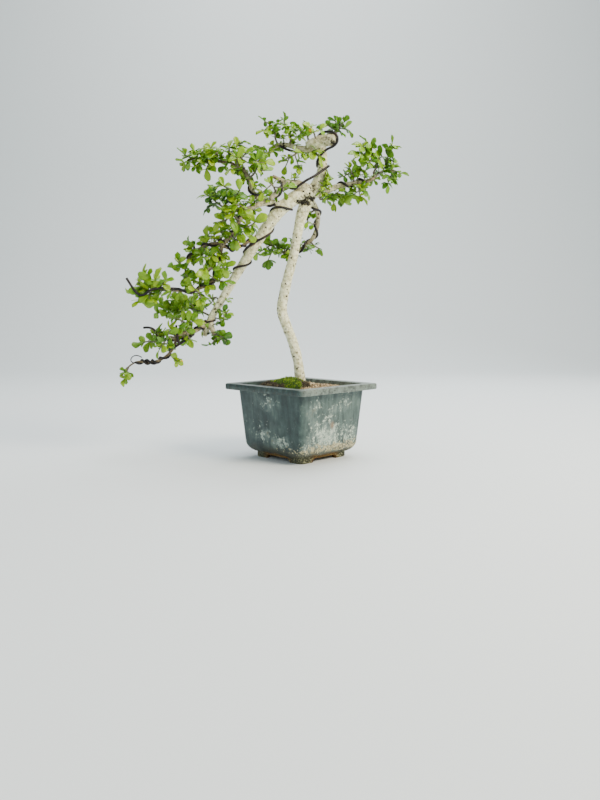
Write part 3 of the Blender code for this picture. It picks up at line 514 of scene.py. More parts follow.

# %% Girth, knots, scars and painted shade
KNOT_COUNT = 120
KNOT_SPACING = 7.0
KNOT_REACH = 1.9
SCAR_AND_SHADE_RAG = 0.50
SCAR_DEPTH = 1.2
LUMP_DEPTH = 0.40
WRINKLE_DEPTH = 0.16
RING_DEPTH = 0.30
CORE_DEPTH = 0.45
RING_WIDTH = 0.7
KNOT_SIZES = (0.55, 1.15)
KNOTTY_GIRTH = 0.55
TWIG_RADIUS = 2.2
GIRTH_SPAN = 2.6
# How pale the bark of a limb is once it has left its parent by the length of GREYING
PALENESS = {"stub": 0.60, "front_arm": 0.45, "front_spur": 0.30, "top_left": 0.50, "mid": 0.65, "left": 0.50,
            "drop": 0.60, "back": 0.80}
GREYING = 12.0
# Each scar, and each patch of painted shade: its middle, how far it reaches across, back and up, and how deep
# its colour is.
# The first three and the ninth darken the fold under the cascade as painted shade; the eighth is a painted
# shadow below it.
SCARS_AND_SHADE = [
    ((8, -12, 348), (14, 16, 5.2), 3.4), ((20, -12, 352.5), (14, 14, 5), 2.8),
    ((30, -9, 357), (10, 14, 4.6), 2), ((15.2, -12, 360), (3, 9, 3), 2), ((21, -8, 367), (11, 12, 16), 1),
    ((30, -8, 356), (12, 12, 9), 1.05), ((25, -8, 383), (6, 10, 12), 0.8),
    ((12, -9, 338), (7, 9, 10), 0.85), ((15, -12, 352.5), (22, 16, 10), 1.35),
    ((46, -12, 426), (5, 9, 4.5), 1.9), ((37, -6, 430), (18, 14, 12), 0.95),
    ((22, 2, 431), (8, 12, 8), 0.9), ((-118, -5, 172), (4, 4, 4), 1.3), ((-131, 9, 169), (4, 4, 4), 1.3),
    ((104, 4, 383), (3, 3, 3), 1.2), ((12, -5, 100), (9, 8, 5), 1),
]


def point_tree(points):
    """A tree that finds the nearest of some points."""
    found = KDTree(len(points))
    for number, point in enumerate(points):
        found.insert(point, number)
    found.balance()
    return found


def local(vert):
    """A vertex's place in millimetres from the middle of the plant."""
    return Vector((vert.co.x - PLANT_X, vert.co.y, vert.co.z)) / MM


line = point_tree([spot.xyz for route in fine_wood.values() for spot in route])
near_wood = []
for name, route in fine_wood.items():
    for spot, mark in zip(route, lengths_along(route)):
        near_wood.append((spot.w, 1 + (PALENESS.get(name, 1.0) - 1) * min(1.0, mark / GREYING)))
tree_shape.normal_update()
tree_shape.verts.ensure_lookup_table()
girth_layer, knot_layer, scar_and_shade_layer = [
    tree_shape.verts.layers.float.new(name) for name in ("girth", "knot", "scar_and_shade")]
for vert in tree_shape.verts:
    radius, palest = near_wood[line.find(local(vert))[1]]
    vert[girth_layer] = min(max((radius - TWIG_RADIUS) / GIRTH_SPAN, 0.0), palest)
dice = random.Random(5)
knots = []
while len(knots) < KNOT_COUNT:
    vert = dice.choice(tree_shape.verts)
    spot = local(vert)
    if vert[girth_layer] > KNOTTY_GIRTH and all((spot - other).length > KNOT_SPACING for other, _ in knots):
        knots.append((spot, dice.uniform(*KNOT_SIZES)))
knot_tree = point_tree([spot for spot, _ in knots])
for vert in tree_shape.verts:
    spot = local(vert)
    _, number, away = knot_tree.find(spot)
    size = KNOT_REACH * knots[number][1]
    ring = math.exp(-((away - size) / RING_WIDTH) ** 2)
    core = max(0.0, 1 - away / (size * 0.75))
    vert[knot_layer] = min(1.0, core * 1.8)
    # One mask holds the scars and the painted shade in and under the fold at the cascade's foot
    scar_and_shade = 0.0
    for place, reaches, strength in SCARS_AND_SHADE:
        gap = Vector([(here - there) / reach for here, there, reach in zip(spot, place, reaches)]).length
        gap += SCAR_AND_SHADE_RAG * noise.noise(spot / 2.8)
        scar_and_shade = max(scar_and_shade, min(1.0, strength * (1 - gap)))
    vert[scar_and_shade_layer] = scar_and_shade
    wrinkle = noise.noise(Vector((spot.x / 3.5, spot.y / 3.5, spot.z / 1.3)))
    lump = noise.noise(spot / 6.0)
    rough = LUMP_DEPTH * lump + WRINKLE_DEPTH * wrinkle + RING_DEPTH * ring - CORE_DEPTH * core
    push = vert[girth_layer] * rough
    push -= SCAR_DEPTH * vert[scar_and_shade_layer] * (0.6 + noise.noise(spot / 1.6))
    vert.co += vert.normal * push * MM
tree = finish_piece("tree_skin", tree_shape, [bark], "tree")
wood_search = BVHTree.FromPolygons([vert.co for vert in tree.data.vertices],
                                   [polygon.vertices for polygon in tree.data.polygons])
print(len(knots), "knots on the bark")

# %% [markdown]
# ## The training wire
#
# Bonsai wire is soft aluminium with a brown anodised skin. It goes round a branch in even turns at
# about 45 degrees, lies tight on the bark, and turns darker and duller outdoors, with reddish wear where
# pliers bent it. A winding is a point that runs round a limb's line at the bark's radius plus its own.

# %% Wire material


def aged_wire(add):
    """Brown anodised aluminium, weathered nearly black: half metallic in look, worn reddish in places."""
    where = add("TexCoord", out="Object")
    wear = add("TexNoise", {"Vector": where, "Scale": 1 / (12 * MM), "Detail": 5.0, "Roughness": 0.7})
    scratches = add("TexNoise", {"Vector": where, "Scale": 1 / (0.8 * MM), "Detail": 2.0})
    return {
        "Base Color": add("ValToRGB", [wear], [
            (0.36, "#151212"), (0.54, "#272120"), (0.64, "#46332b"), (0.74, "#82533d")]),
        "Metallic": 0.35,
        "Roughness": add("MapRange", [wear, 0.3, 0.7, 0.62, 0.38]),
        "Normal": add("Bump", {"Height": scratches, "Strength": 0.25, "Distance": 0.2 * MM}),
    }


wire_finish = new_material("anodised_wire", aged_wire)

# %% Windings and loose stretches
WIRE_RADIUS = 1.4
WIRE_BITE = 0.15
WIRE_SKIN = 0.25
WIRE_POINTS_PER_TURN = 26
GAP = 0.35
# A winding is (limb, from and to as shares of its length, turns, first angle), and a list is a loose stretch
WIRES = {
    "wire_leader": [[(-25.5, 5.5, 425.5), (-18, 6, 421.5), (-6, 7, 418), (4, 5, 416.5), (12, 7, 416),
        (18, 11, 422), (24, 10, 434), (30, 3, 440.5), (37, -5, 441), (45, -9, 440), (49.7, -10, 434),
        (49.7, -10, 426), (46, -9, 420.5), (40, -9, 418.5), (35, -9, 415), (30, -7, 410), (25.5, -1, 404),
        (26, 8, 398)]],
    "wire_arm": [[(35, 12, 399), (41.5, 5, 398.5), (40.5, -5, 396), (34, -8, 391), (22, -14, 382),
        (8, -18, 374)], ("front_arm", 0.31, 0.96, -1.45, -45)],
    "wire_cascade": [("cascade", 0.165, 0.245, 0.5, -90), ("cascade", 0.245, 0.328, 0.5, 90),
        ("cascade", 0.328, 0.505, 0.5, -90), ("cascade", 0.505, 0.53, 0.5, 90),
        ("cascade", 0.53, 0.61, 0.5, -90), ("cascade", 0.61, 0.625, 0.2, 90)],
    "wire_right": [("right", 0.4, 0.92, 1.93, -223)],
    "wire_back": [("back", 0.12, 0.96, -3.1, 86)],
    "wire_mid": [("mid", 0.17, 0.72, -1.5, -20)],
    "wire_drop": [("drop", 0.05, 0.85, 2.25, 150)],
    "wire_drop_left": [("drop_left", 0.15, 0.98, 2.2, 60)],
    "wire_down": [("drop_down", 0.33, 0.99, 2.15, 49),
        [(-176, -50, 233), (-192, -46, 231), (-206, -42, 223), (-215, -40, 228), (-227, -38, 246)]],
    "wire_low": [("low_front", 0.08, 0.73, 1.7, 44), ("tail", 0.23, 0.86, 3.15, -49)],
    "wire_hook": [("low_left", 0.1, 0.86, 2, 20), [(-197, 12, 166), (-199, 9, 170), (-198.5, 7, 175),
        (-203, 6.5, 179), (-209, 7, 180.5), (-216, 8, 180)]],
    "wire_curl": [[(-224.9, 0, 131), (-229.5, -1, 131), (-233.5, 1, 133), (-233.7, 1, 137),
        (-229, 0, 141.4), (-223, 0, 142), (-217.5, 0, 139)]],
    "wire_peg": [[(-166, -17, 184), (-165, -17.6, 170), (-163, -16.5, 158)]],
    "wire_twin": [("tail", 0.5, 0.84, 2.4, 120)],
    "wire_stub": [("cascade", 0.9, 0.955, 0.5, -90), ("cascade", 0.955, 0.99, 0.6, 90)],
    "wire_link": [("link", 0.18, 0.95, 2.2, 40)],
}
# Short wires that are only here, and how thick each is beside the others
SHORT_WIRES = {"wire_hook": 1.0, "wire_curl": 0.35, "wire_peg": 0.9, "wire_twin": 0.85, "wire_stub": 0.9,
               "wire_link": 0.9}


def squared(vector, axis):
    """The direction of a vector once what lies along an axis is taken out of it."""
    return (vector - axis * vector.dot(axis)).normalized()


def winding(name, start, end, turns, angle):
    """Points of a wire wound round a limb between two shares of its length, bedded on the bark."""
    route = fine_wood[name]
    length = lengths_along(route)[-1]
    count = max(3, math.ceil(abs(turns) * WIRE_POINTS_PER_TURN))
    points = []
    for number in range(count + 1):
        share = number / count
        spot, along = spot_at(route, length * (start + (end - start) * share))
        front = squared(Vector((0, -1, 0)), along)
        turn = math.radians(angle) + 2 * math.pi * turns * share
        reach = spot.w + WIRE_RADIUS - WIRE_BITE
        points.append(spot.xyz + (front * math.cos(turn) + along.cross(front) * math.sin(turn)) * reach)
    return points


def near_spot(start, end, point):
    """The point of one stretch of a route that is nearest to a point."""
    _, share = intersect_point_line(point, start.xyz, end.xyz)
    return start.lerp(end, min(max(share, 0.0), 1.0))


def pushed_clear(point, clearance):
    """Move a point out of any wood that it is too close to."""
    for _ in range(2):
        for route in coarse_wood.values():
            for start, end in zip(route, route[1:]):
                near = near_spot(start, end, point)
                away = point - near.xyz
                if away.length < near.w + clearance:
                    point = near.xyz + away.normalized() * (near.w + clearance)
    return point


def wire_route(stretches, radius):
    """The whole line of one wire, evened out so that it bends as soft metal does."""
    points = []
    for stretch in stretches:
        points += smooth_route(stretch, 2.0) if isinstance(stretch, list) else winding(*stretch)
    points = [pushed_clear(point, radius - WIRE_BITE) for point in points]
    for _ in range(3):
        trios = zip(points, points[1:], points[2:])
        middle = [(before + point + after) / 3 for before, point, after in trios]
        points = [points[0], *middle, points[-1]]
    return [Vector((*point, radius + WIRE_SKIN)) for point in points]


wire_routes = {}
for name, stretches in WIRES.items():
    wire_routes[name] = wire_route(stretches, WIRE_RADIUS * SHORT_WIRES.get(name, 1.0))
    shape = tubes([wire_routes[name]], 12)
    if name in SHORT_WIRES:
        finish_piece(name, shape, [wire_finish], "wire_low", False)
    else:
        finish_piece(f"{name}_fine", shape, [wire_finish], name)
wire_length = sum(lengths_along(route)[-1] for route in wire_routes.values())
print(len(WIRES), "wires,", round(wire_length), "mm of wire")

# %% [markdown]
# ## Leaves
#
# A fukien tea leaf is 12 to 17 mm long, broadest near its blunt tip, thick and shiny, with its edges
# rolled a little under. They crowd on short shoots, so a spray reads as a cloud of small rosettes. One
# flat grid is bent into fourteen different blades, and each leaf is a turned copy of one of them.

# %% Leaf material


def waxy_leaf(add):
    """Living leaf: a waxy skin over green that runs from lime on new leaves to deep green on old ones, and on
    leaves deep in a spray as painted shade.
    """
    where = add("TexCoord", out="Object")
    unwrapped = add("UVMap", out="UV", uv_map="UVMap")
    tint, under = [add("Attribute", out="Fac", attribute_name=name) for name in ("tint", "under")]
    blotch = add("TexNoise", {"Vector": where, "Scale": 1 / (6 * MM), "Detail": 3.0, "Roughness": 0.6})
    shade = add("Math", [blotch, 0.22, tint], operation="MULTIPLY_ADD")
    green = add("ValToRGB", [shade], [
        (0.08, "#153006"), (0.22, "#275404"), (0.36, "#4a7b00"), (0.52, "#6c9800"), (0.68, "#8aa900"),
        (0.86, "#a6b500"), (1.0, "#e2b200")])
    along, across = [add("SeparateXYZ", [unwrapped], out=axis) for axis in "XY"]
    middle = add("Math", [across, 0.5], operation="SUBTRACT")
    off = add("Math", [middle], operation="ABSOLUTE")
    rib = add("MapRange", [off, 0.05, 0.015, 0.0, 0.45])
    slope = add("Math", [off, -0.9, along], operation="MULTIPLY_ADD")
    beat = add("Math", [slope, 38.0], operation="MULTIPLY")
    wave = add("Math", [beat], operation="SINE")
    vein = add("MapRange", [wave, 0.80, 1.0, 0.0, 0.20])
    lines = add("Math", [rib, vein], operation="MAXIMUM")
    veined = add("Mix", {0: lines, 6: green, 7: "#93ab2c"}, **AS_COLOUR)
    pale = add("Math", [under, 0.30], operation="MULTIPLY")
    return {
        "Base Color": add("Mix", {0: pale, 6: veined, 7: "#6f8c30"}, **AS_COLOUR),
        "Roughness": add("MapRange", [under, 0.0, 1.0, 0.30, 0.60]), "IOR": 1.45,
        "Subsurface Weight": 0.08, "Subsurface Scale": 2 * MM, "Subsurface Radius": (0.4, 1.0, 0.1),
        "Normal": add("Bump", {"Height": lines, "Strength": 0.5, "Distance": 0.3 * MM}),
    }


def young_bark(add):
    """The skin of a leafy shoot: grey-brown at its foot and green where it is still growing."""
    where = add("TexCoord", out="Object")
    tint = add("Attribute", out="Fac", attribute_name="tint")
    speck = add("TexNoise", {"Vector": where, "Scale": 1 / (1.6 * MM), "Detail": 4.0, "Roughness": 0.65})
    brown = add("ValToRGB", [speck], [(0.35, "#3a332a"), (0.68, "#8d8472")])
    return {"Base Color": add("Mix", {0: tint, 6: brown, 7: "#5c6f2a"}, **AS_COLOUR), "Roughness": 0.7,
            "IOR": 1.42, "Normal": add("Bump", {"Height": speck, "Strength": 0.4, "Distance": 0.3 * MM})}


leafy_finishes = [new_material("shoot_bark", young_bark), new_material("fukien_tea_leaf", waxy_leaf)]

# %% One blade, bent in fourteen ways
BLADE_CELLS = (5, 4)
BLADE_THICKNESS = 0.025
BLADE_KINDS = 14
BLADE_PEAK = 0.73 ** 0.95 * 0.27 ** 0.36


def blade_mesh(number):
    """A leaf one unit long, from its stalk at the origin along X, with its upper face to +Z."""
    dice = random.Random(900 + number)
    arch = dice.uniform(-0.05, 0.50)
    cup = dice.uniform(-0.50, 0.05)
    fold = dice.uniform(0.20, 0.70)
    ripple = dice.uniform(0.0, 0.06)
    phase = dice.uniform(0, 2 * math.pi)
    breadth = dice.uniform(0.53, 0.76)
    blade = bmesh.new()
    blade.loops.layers.uv.new("UVMap")
    blade.verts.layers.float.new("tint")
    under = blade.verts.layers.float.new("under")
    bmesh.ops.create_grid(blade, x_segments=BLADE_CELLS[0], y_segments=BLADE_CELLS[1], size=0.5,
                          calc_uvs=True)
    for vert in blade.verts:
        share = vert.co.x + 0.5
        side = 2 * vert.co.y
        inset = 0.02 + 0.96 * share
        half = breadth / 2 * inset ** 0.95 * (1 - inset) ** 0.36 / BLADE_PEAK
        up = -arch * share ** 2 + fold * abs(side) * half + cup * (abs(side) ** 2 * half)
        up += ripple * math.sin(9 * share + phase) * side ** 2
        vert.co = Vector((share - 0.07 * side ** 2 * share ** 4, side * half, up))
    bmesh.ops.solidify(blade, geom=blade.faces[:], thickness=BLADE_THICKNESS)
    bmesh.ops.recalc_face_normals(blade, faces=blade.faces[:])
    blade.normal_update()
    for vert in blade.verts:
        vert[under] = 1.0 if vert.normal.z < 0 else 0.0
    return mesh_of(f"blade_{number}", blade)


blades = [blade_mesh(number) for number in range(BLADE_KINDS)]
print("each blade has", len(blades[0].polygons), "faces")

# %% The sprays: their wood, stem, side twigs and leaf size
SPRAYS = {
    "top_left_up": ("top_left", [(-31, 9, 436), (-32, 6, 445), (-38, 2, 452), (-45, -3, 455)],
        [(-28, 14, 457), (-46, -7, 442)], 0.85),
    "top_left_shoot": ("top_left", [(-10, 2, 435), (-14, -4, 445), (-19, -9, 454)], [(-5, 6, 446)], 0.85),
    "top_mid": ("stub", [(11, 4, 441), (3, 10, 448), (-1, 14, 453)], [(11, 4, 451), (1, -8, 433)], 0.8),
    "top_right": ("stub", [(42, 6, 441), (55, 8, 445), (52, 10, 455), (50, 12, 460)],
        [(63, 2, 456), (38, -8, 449), (70, 16, 448)], 0.95),
    "knob_front": ("stub", [(21, -14, 437), (17, -20, 444)], [(29, -20, 440)], 0.8),
    "knob_under": ("leader", [(23, -12, 415), (14, -18, 412), (7, -20, 408)], [(28, -20, 406)], 1),
    "trailing": ("top_left", [(-2, -6, 413), (-11, -10, 407), (-21, -12, 402)],
        [(2, -14, 390), (-17, -4, 396)], 0.85),
    "leader_side": ("leader", [(38, -4, 371), (39.5, -5, 382)], [], 0.95),
    "right_rise": ("right", [(74, 2, 386), (69, -2, 395)], [(84, 16, 400), (62, 14, 386)], 0.9),
    "right_up": ("right", [(102, 2, 389), (107, 0, 399), (103, -4, 407), (94, -8, 414), (85, -12, 421)],
        [(93, -6, 428), (115, 10, 412), (94, -18, 397), (81, -18, 408)], 1),
    "right_tip": ("right", [(112, 8, 391), (122, 12, 393), (132, 14, 394), (141, 18, 391)],
        [(127, 2, 428), (132, 20, 407), (121, -2, 374)], 0.95),
    "right_under": ("right", [(82, -1, 368), (90, -9, 364)], [(84, 2, 357), (75, 12, 361)], 1),
    "right_low": ("right", [(30, 14, 356), (44, 18, 357), (58, 22, 360), (66, 24, 354)],
        [(57, 8, 366), (49, 12, 350), (72, 34, 367)], 0.95),
    "back_upper": ("back", [(14, 14, 335), (13, 9, 324)], [], 0.9),
    "back_small": ("back", [(23, 28, 294), (30, 26, 290)], [], 0.95),
    "back_end": ("back", [(-29, 32, 289), (-36, 26, 295), (-40, 24, 303)],
        [(-25, 44, 297), (-43, 38, 275), (-58, 26, 283)], 0.95),
    "far_left_end": ("far_left", [(-134, 8, 408), (-146, 12, 411), (-156, 16, 415)],
        [(-140, -2, 396), (-143, 20, 422), (-155, 8, 403), (-127, -6, 416)], 0.95),
    "far_left_mid": ("far_left", [(-109, -8, 412), (-117, -12, 419)], [(-105, 4, 425), (-123, -14, 390)],
        1.05),
    "far_left_inner": ("far_left", [(-91, -18, 410), (-91, -20, 418)], [(-75, -12, 426)], 1.05),
    "pale_twig": ("top_left", [(-53, 20, 427), (-61, 22, 427), (-70, 24, 425)], [], 0.75),
    "mid_top": ("mid", [(-78, -38, 389), (-79, -42, 400)], [(-88, -44, 385), (-68, -36, 407)], 1),
    "mid_right": ("mid", [(-57, -37, 381), (-53, -38, 392), (-59, -34, 404)],
        [(-43, -42, 383), (-44, -28, 396)], 1),
    "left_end": ("left", [(-106, -40, 343), (-113, -37, 350), (-121, -36, 354)],
        [(-118, -32, 338), (-115, -28, 363), (-103, -26, 351)], 0.9),
    "left_upper": ("left", [(-82, -50, 345), (-87, -53, 356), (-96, -55, 362)],
        [(-74, -58, 356), (-95, -40, 350)], 1.05),
    "left_front": ("left", [(-74, -52, 337), (-81, -62, 338)], [(-66, -60, 330), (-86, -60, 326)], 1.1),
    "arm_leaf": ("front_arm", [(-32, -37, 364), (-38, -43, 369)], [(-12, -38, 362), (-47, -44, 355)],
        0.95),
    "drop_upper": ("drop", [(-85, -44, 326), (-93, -50, 320), (-102, -52, 317)], [(-95, -58, 330)], 0.95),
    "drop_right": ("drop", [(-72, -45, 311), (-63, -50, 312), (-55, -52, 317)], [(-65, -42, 302)], 1.1),
    "drop_front": ("drop", [(-83, -44, 296), (-76, -50, 293)], [(-78, -56, 302)], 1.15),
    "drop_left_top": ("drop_left", [(-112, -28, 301), (-107, -34, 309)],
        [(-125, -16, 303), (-97, -42, 306)], 1),
    "drop_left_end": ("drop_left", [(-152, -18, 259), (-153, -20, 246)],
        [(-170, -8, 261), (-161, -26, 272), (-145, -32, 245)], 1),
    "drop_left_back": ("drop_left", [(-142, -8, 292), (-149, -2, 295)], [(-143, -2, 280)], 0.9),
    "drop_left_low": ("drop_left", [(-123, -28, 278), (-122, -32, 266)],
        [(-133, -16, 277), (-113, -44, 274)], 1),
    "down_mid": ("drop_down", [(-115, -46, 259), (-121, -52, 252)], [(-126, -44, 245), (-93, -48, 259)],
        1.05),
    "down_low": ("drop_down", [(-106, -51, 242), (-97, -56, 241)], [(-115, -58, 249)], 1.1),
    "down_bottom": ("drop_down", [(-129, -52, 225), (-126, -56, 218)], [(-138, -58, 236)], 1.05),
    "down_end": ("drop_down", [(-178, -42, 230), (-193, -38, 229), (-204, -34, 233), (-212, -32, 241)],
        [(-205, -30, 252), (-188, -46, 244), (-172, -52, 243), (-210, -38, 216), (-196, -46, 217),
        (-222, -28, 226)], 1.1),
    "low_back": ("cascade",
        [(-137, 16, 203), (-149, 20, 206), (-163, 24, 210), (-178, 28, 212), (-196, 30, 209)],
        [(-154, 10, 220), (-174, 34, 222), (-184, 20, 200), (-202, 36, 200), (-163, 14, 199),
        (-142, 26, 215)], 1.05),
    "low_front_up": ("low_front", [(-151, -14, 184), (-160, -18, 191), (-169, -20, 194)],
        [(-142, -20, 189), (-146, -22, 163)], 1.05),
    "tail_top": ("tail", [(-175, -21, 168), (-182, -25, 160), (-188, -27, 151)], [(-172, -26, 180)], 1.05),
    "low_left_end": ("low_left", [(-205, 24, 160), (-216, 26, 160), (-224, 28, 157)],
        [(-196, 14, 174), (-207, 34, 171)], 1),
    "tail_mid": ("tail", [(-172, -16, 140), (-166, -20, 135)], [], 0.95),
    "tail_tip": ("tail", [(-244, 7, 118), (-243, 8, 108)], [], 0.85),
    "stub_side": ("cascade_end", [(-110, -8, 171), (-103, -10, 167)], [(-120, -10, 157), (-109, 2, 161)],
        1),
    "cascade_right": ("cascade", [(-106, 4, 203), (-98, 0, 200)], [(-102, -4, 190)], 0.85),
    "cascade_left": ("cascade", [(-115, 16, 222), (-124, 20, 221)], [(-124, 24, 213)], 0.85),
}

# %% Where leaves stand
LEAF_LENGTH = (12.0, 16.5)
LEAF_SPACING = 6.4
SPACING_SPREAD = (0.75, 1.25)
BARE_FOOT = 4.6
TIP_INSET = 1.4
LEAF_SEAT = 0.4
TIP_LEAN = 1.4
SIDE_LEAN = 0.6
LEAF_RISE = (-0.15, 0.45)
GOLDEN_TURN = math.radians(137.5)
CANOPY_CENTRE = Vector((-60.0, 6.0, 290.0))
LIGHT_PULL = Vector((0.15, 1.8, 0.2))
LIGHT_ABOVE = Vector((0.0, 0.0, 0.5))
FACE_SPREAD = 0.7
STEM_RADII = (1.5, 0.9)
TWIG_RADII = (0.95, 0.7)
STEM_STEP = 19.0
FINE_STEM_STEP = 3.0
FORK_SPAN = (0.25, 0.8)
ROOT_CLEARANCE = 0.5


def jitter(dice, most):
    """A small random vector."""
    return Vector([dice.uniform(-most, most) for _ in range(3)])


def turned(turn, axis):
    """A direction square to an axis, turned about it."""
    return Matrix.Rotation(turn, 3, axis) @ axis.orthogonal().normalized()


def off_the_bark(wood, target):
    """Where a shoot towards target leaves the wood: a point on its line, and one just off its bark."""
    spots = [near_spot(start, end, target) for start, end in zip(wood, wood[1:])]
    nearest = min(spots, key=lambda spot: (spot.xyz - target).length)
    away = (target - nearest.xyz).normalized()
    reach = nearest.w
    if (nearest - wood[-1]).length < GAP:
        reach *= away.cross((wood[-1].xyz - wood[-2].xyz).normalized()).length
    return nearest.xyz, nearest.xyz + away * (reach + ROOT_CLEARANCE)


def tapered(points, radii, step):
    """A smooth stem route that thins evenly from its first radius to its last."""
    route = smooth_route([(*point, 0.0) for point in points], step)
    marks = lengths_along(route)
    for spot, mark in zip(route, marks):
        spot.w = radii[0] + (radii[1] - radii[0]) * mark / marks[-1]
    return route


def spray_routes(wood, points, twigs):
    """A spray's stem and side twigs as its solid has them, and the point in the wood it grows from."""
    heart, root = off_the_bark(coarse_wood[wood], Vector(points[0]))
    stem = tapered([root, *points], STEM_RADII, STEM_STEP)
    length = lengths_along(stem)[-1]
    stems = [stem]
    for number, tip in enumerate(twigs):
        share = FORK_SPAN[0] + (FORK_SPAN[1] - FORK_SPAN[0]) * (number + 0.5) / len(twigs)
        fork, _ = spot_at(stem, length * share)
        stems.append(tapered([fork.xyz, tip], TWIG_RADII, STEM_STEP))
    return heart, stems


def leaf_slots(stem, dice, size):
    """Where leaves stand on a stem, from its tip inward: place, direction, upper face and length."""
    slots = []
    outermost = lengths_along(stem)[-1] - TIP_INSET
    distance = outermost
    turn = dice.uniform(0.0, 2 * math.pi)
    while distance > BARE_FOOT:
        spot, along = spot_at(stem, distance)
        turn += GOLDEN_TURN
        lean = TIP_LEAN if distance == outermost else SIDE_LEAN
        rise = Vector((0, 0, dice.uniform(*LEAF_RISE)))
        direction = (along * lean + turned(turn, along) + rise).normalized()
        light = ((spot.xyz - CANOPY_CENTRE) * LIGHT_PULL).normalized() + LIGHT_ABOVE
        face = squared(light + jitter(dice, FACE_SPREAD), direction)
        place = spot.xyz + direction * spot.w * LEAF_SEAT
        slots.append((place, direction, face, dice.uniform(*LEAF_LENGTH) * size))
        distance -= LEAF_SPACING * dice.uniform(*SPACING_SPREAD)
    return slots


print(sum(len(spray[2]) + 1 for spray in SPRAYS.values()), "shoots in", len(SPRAYS), "sprays")

# %% Leaves on their shoots
TINTS = {"deep": 0.21, "mid": 0.36, "lime": 0.46}
TINT_SPREAD = 0.15
LIGHTEST = 0.54
# How much lighter a stem's tip leaf is than those at its foot: young leaves are paler, and the darker leaves
# toward the foot, deep in the spray, are painted shade
YOUNG_AND_LIT_TIP = 0.12
YELLOW_SHIFT = 0.7
YELLOWEST = 0.98
TWIN_RISE = Vector((0.0, -0.2, 1.6))
TWIN_TURN = (0.7, 2.0)
TWIN_TILT = (-0.5, 0.7)
TWIN_SIZE = (0.55, 0.95)
TWIN_SHADE = (-0.20, 0.08)
STEM_GREEN = 0.8
GREEN_REACH = 50.0
BARK_MARGIN = 1.2
WIRE_MARGIN = 3.6

wire_points = [spot for route in wire_routes.values() for spot in route]
shown_wire = point_tree([(spot.x, 0.0, spot.z) for spot in wire_points])


def hides_wire(slot):
    """Whether a leaf would hang just in front of a wire."""
    place, direction, _, length = slot
    middle = place + direction * length * 0.55
    _, number, away = shown_wire.find((middle.x, 0.0, middle.z))
    return away < WIRE_MARGIN and middle.y < wire_points[number].y


def add_leaf(shape, slot, tint, dice):
    """Put one turned and scaled copy of a blade into the spray, unless it would run into the wood."""
    place, direction, face, length = slot
    turn = Matrix((direction, face.cross(direction), face)).transposed().to_4x4()
    matrix = Matrix.Translation(world(place)) @ turn @ Matrix.Scale(length * MM, 4)
    blade = dice.choice(blades)
    if wood_search.find_nearest(matrix @ Vector((0.6, 0.0, 0.0)))[3] < BARK_MARGIN * MM:
        return 0
    first = len(shape.verts)
    shape.from_mesh(blade)
    shape.verts.ensure_lookup_table()
    new = shape.verts[first:]
    bmesh.ops.transform(shape, matrix=matrix, verts=new)
    tint_layer = shape.verts.layers.float["tint"]
    for vert in new:
        vert[tint_layer] = tint
    return 1


def beside(slot, dice):
    """Another leaf from the same bud as a first one, turned aside, tilted and a little smaller."""
    place, direction, face, length = slot
    aside = Matrix.Rotation(dice.choice((-1, 1)) * dice.uniform(*TWIN_TURN), 3, face) @ direction
    aside = (aside + face * dice.uniform(*TWIN_TILT)).normalized()
    tilt = squared(face + TWIN_RISE + jitter(dice, 1.0), aside)
    return place, aside, tilt, length * dice.uniform(*TWIN_SIZE)


def leafy_piece(name, foot, stems, leaves, looks, dice, node, stands_in):
    """Finish a piece of stems, darker at their foot, and of leaves with their twins, and count its leaves."""
    mood, twins = looks
    stem_shape = tubes(stems, 8)
    tint_layer = stem_shape.verts.layers.float.new("tint")
    for vert in stem_shape.verts:
        grown = (vert.co - world(foot)).length / (GREEN_REACH * MM)
        vert[tint_layer] = min(STEM_GREEN, grown) * STEM_GREEN
    shape = bmesh.new()
    shape.verts.layers.float.new("tint")
    shape.verts.layers.float.new("under")
    shape.loops.layers.uv.new("UVMap")
    gather(shape, stem_shape)
    stem_faces = len(shape.faces)
    count = 0
    for slot, lighter in leaves:
        tint = TINTS[mood] + dice.uniform(-TINT_SPREAD, TINT_SPREAD) + lighter
        tint = min(tint, YELLOWEST if lighter == YELLOW_SHIFT else LIGHTEST)
        count += add_leaf(shape, slot, tint, dice)
        for _ in range(dice.choice(twins) if lighter < YELLOW_SHIFT else 0):
            shade = tint + dice.uniform(*TWIN_SHADE)
            twin = beside(slot, dice)
            count += 0 if hides_wire(twin) else add_leaf(shape, twin, shade, dice)
    shape.faces.ensure_lookup_table()
    for face in shape.faces[stem_faces:]:
        face.material_index = 1
    finish_piece(name, shape, leafy_finishes, node, stands_in)
    return count


print("leaves keep", WIRE_MARGIN, "mm clear of the wires that show")

# %% Every spray
DEEP_SPRAYS = {"top_right", "back_end", "stub_side", "cascade_right", "left_end", "left_upper"}
LIME_SPRAYS = {"far_left_end", "far_left_mid", "far_left_inner", "knob_front", "knob_under", "leader_side",
               "down_end", "tail_tip", "left_front", "drop_right", "trailing", "mid_top"}
DENSE_SPRAYS = {"back_end", "back_small", "tail_tip", "leader_side", "knob_front", "knob_under", "top_mid",
                "top_left_up", "top_left_shoot", "right_rise", "right_up", "right_tip", "right_under",
                "left_end", "mid_top", "mid_right", "far_left_mid", "far_left_inner", "far_left_end"}
YELLOWED = {"drop_front", "tail_mid", "knob_front"}
# How many more leaves a bud may have
SPRAY_TWINS = (1, 2, 2, 3)
DENSE_TWINS = (3, 3, 4, 4)

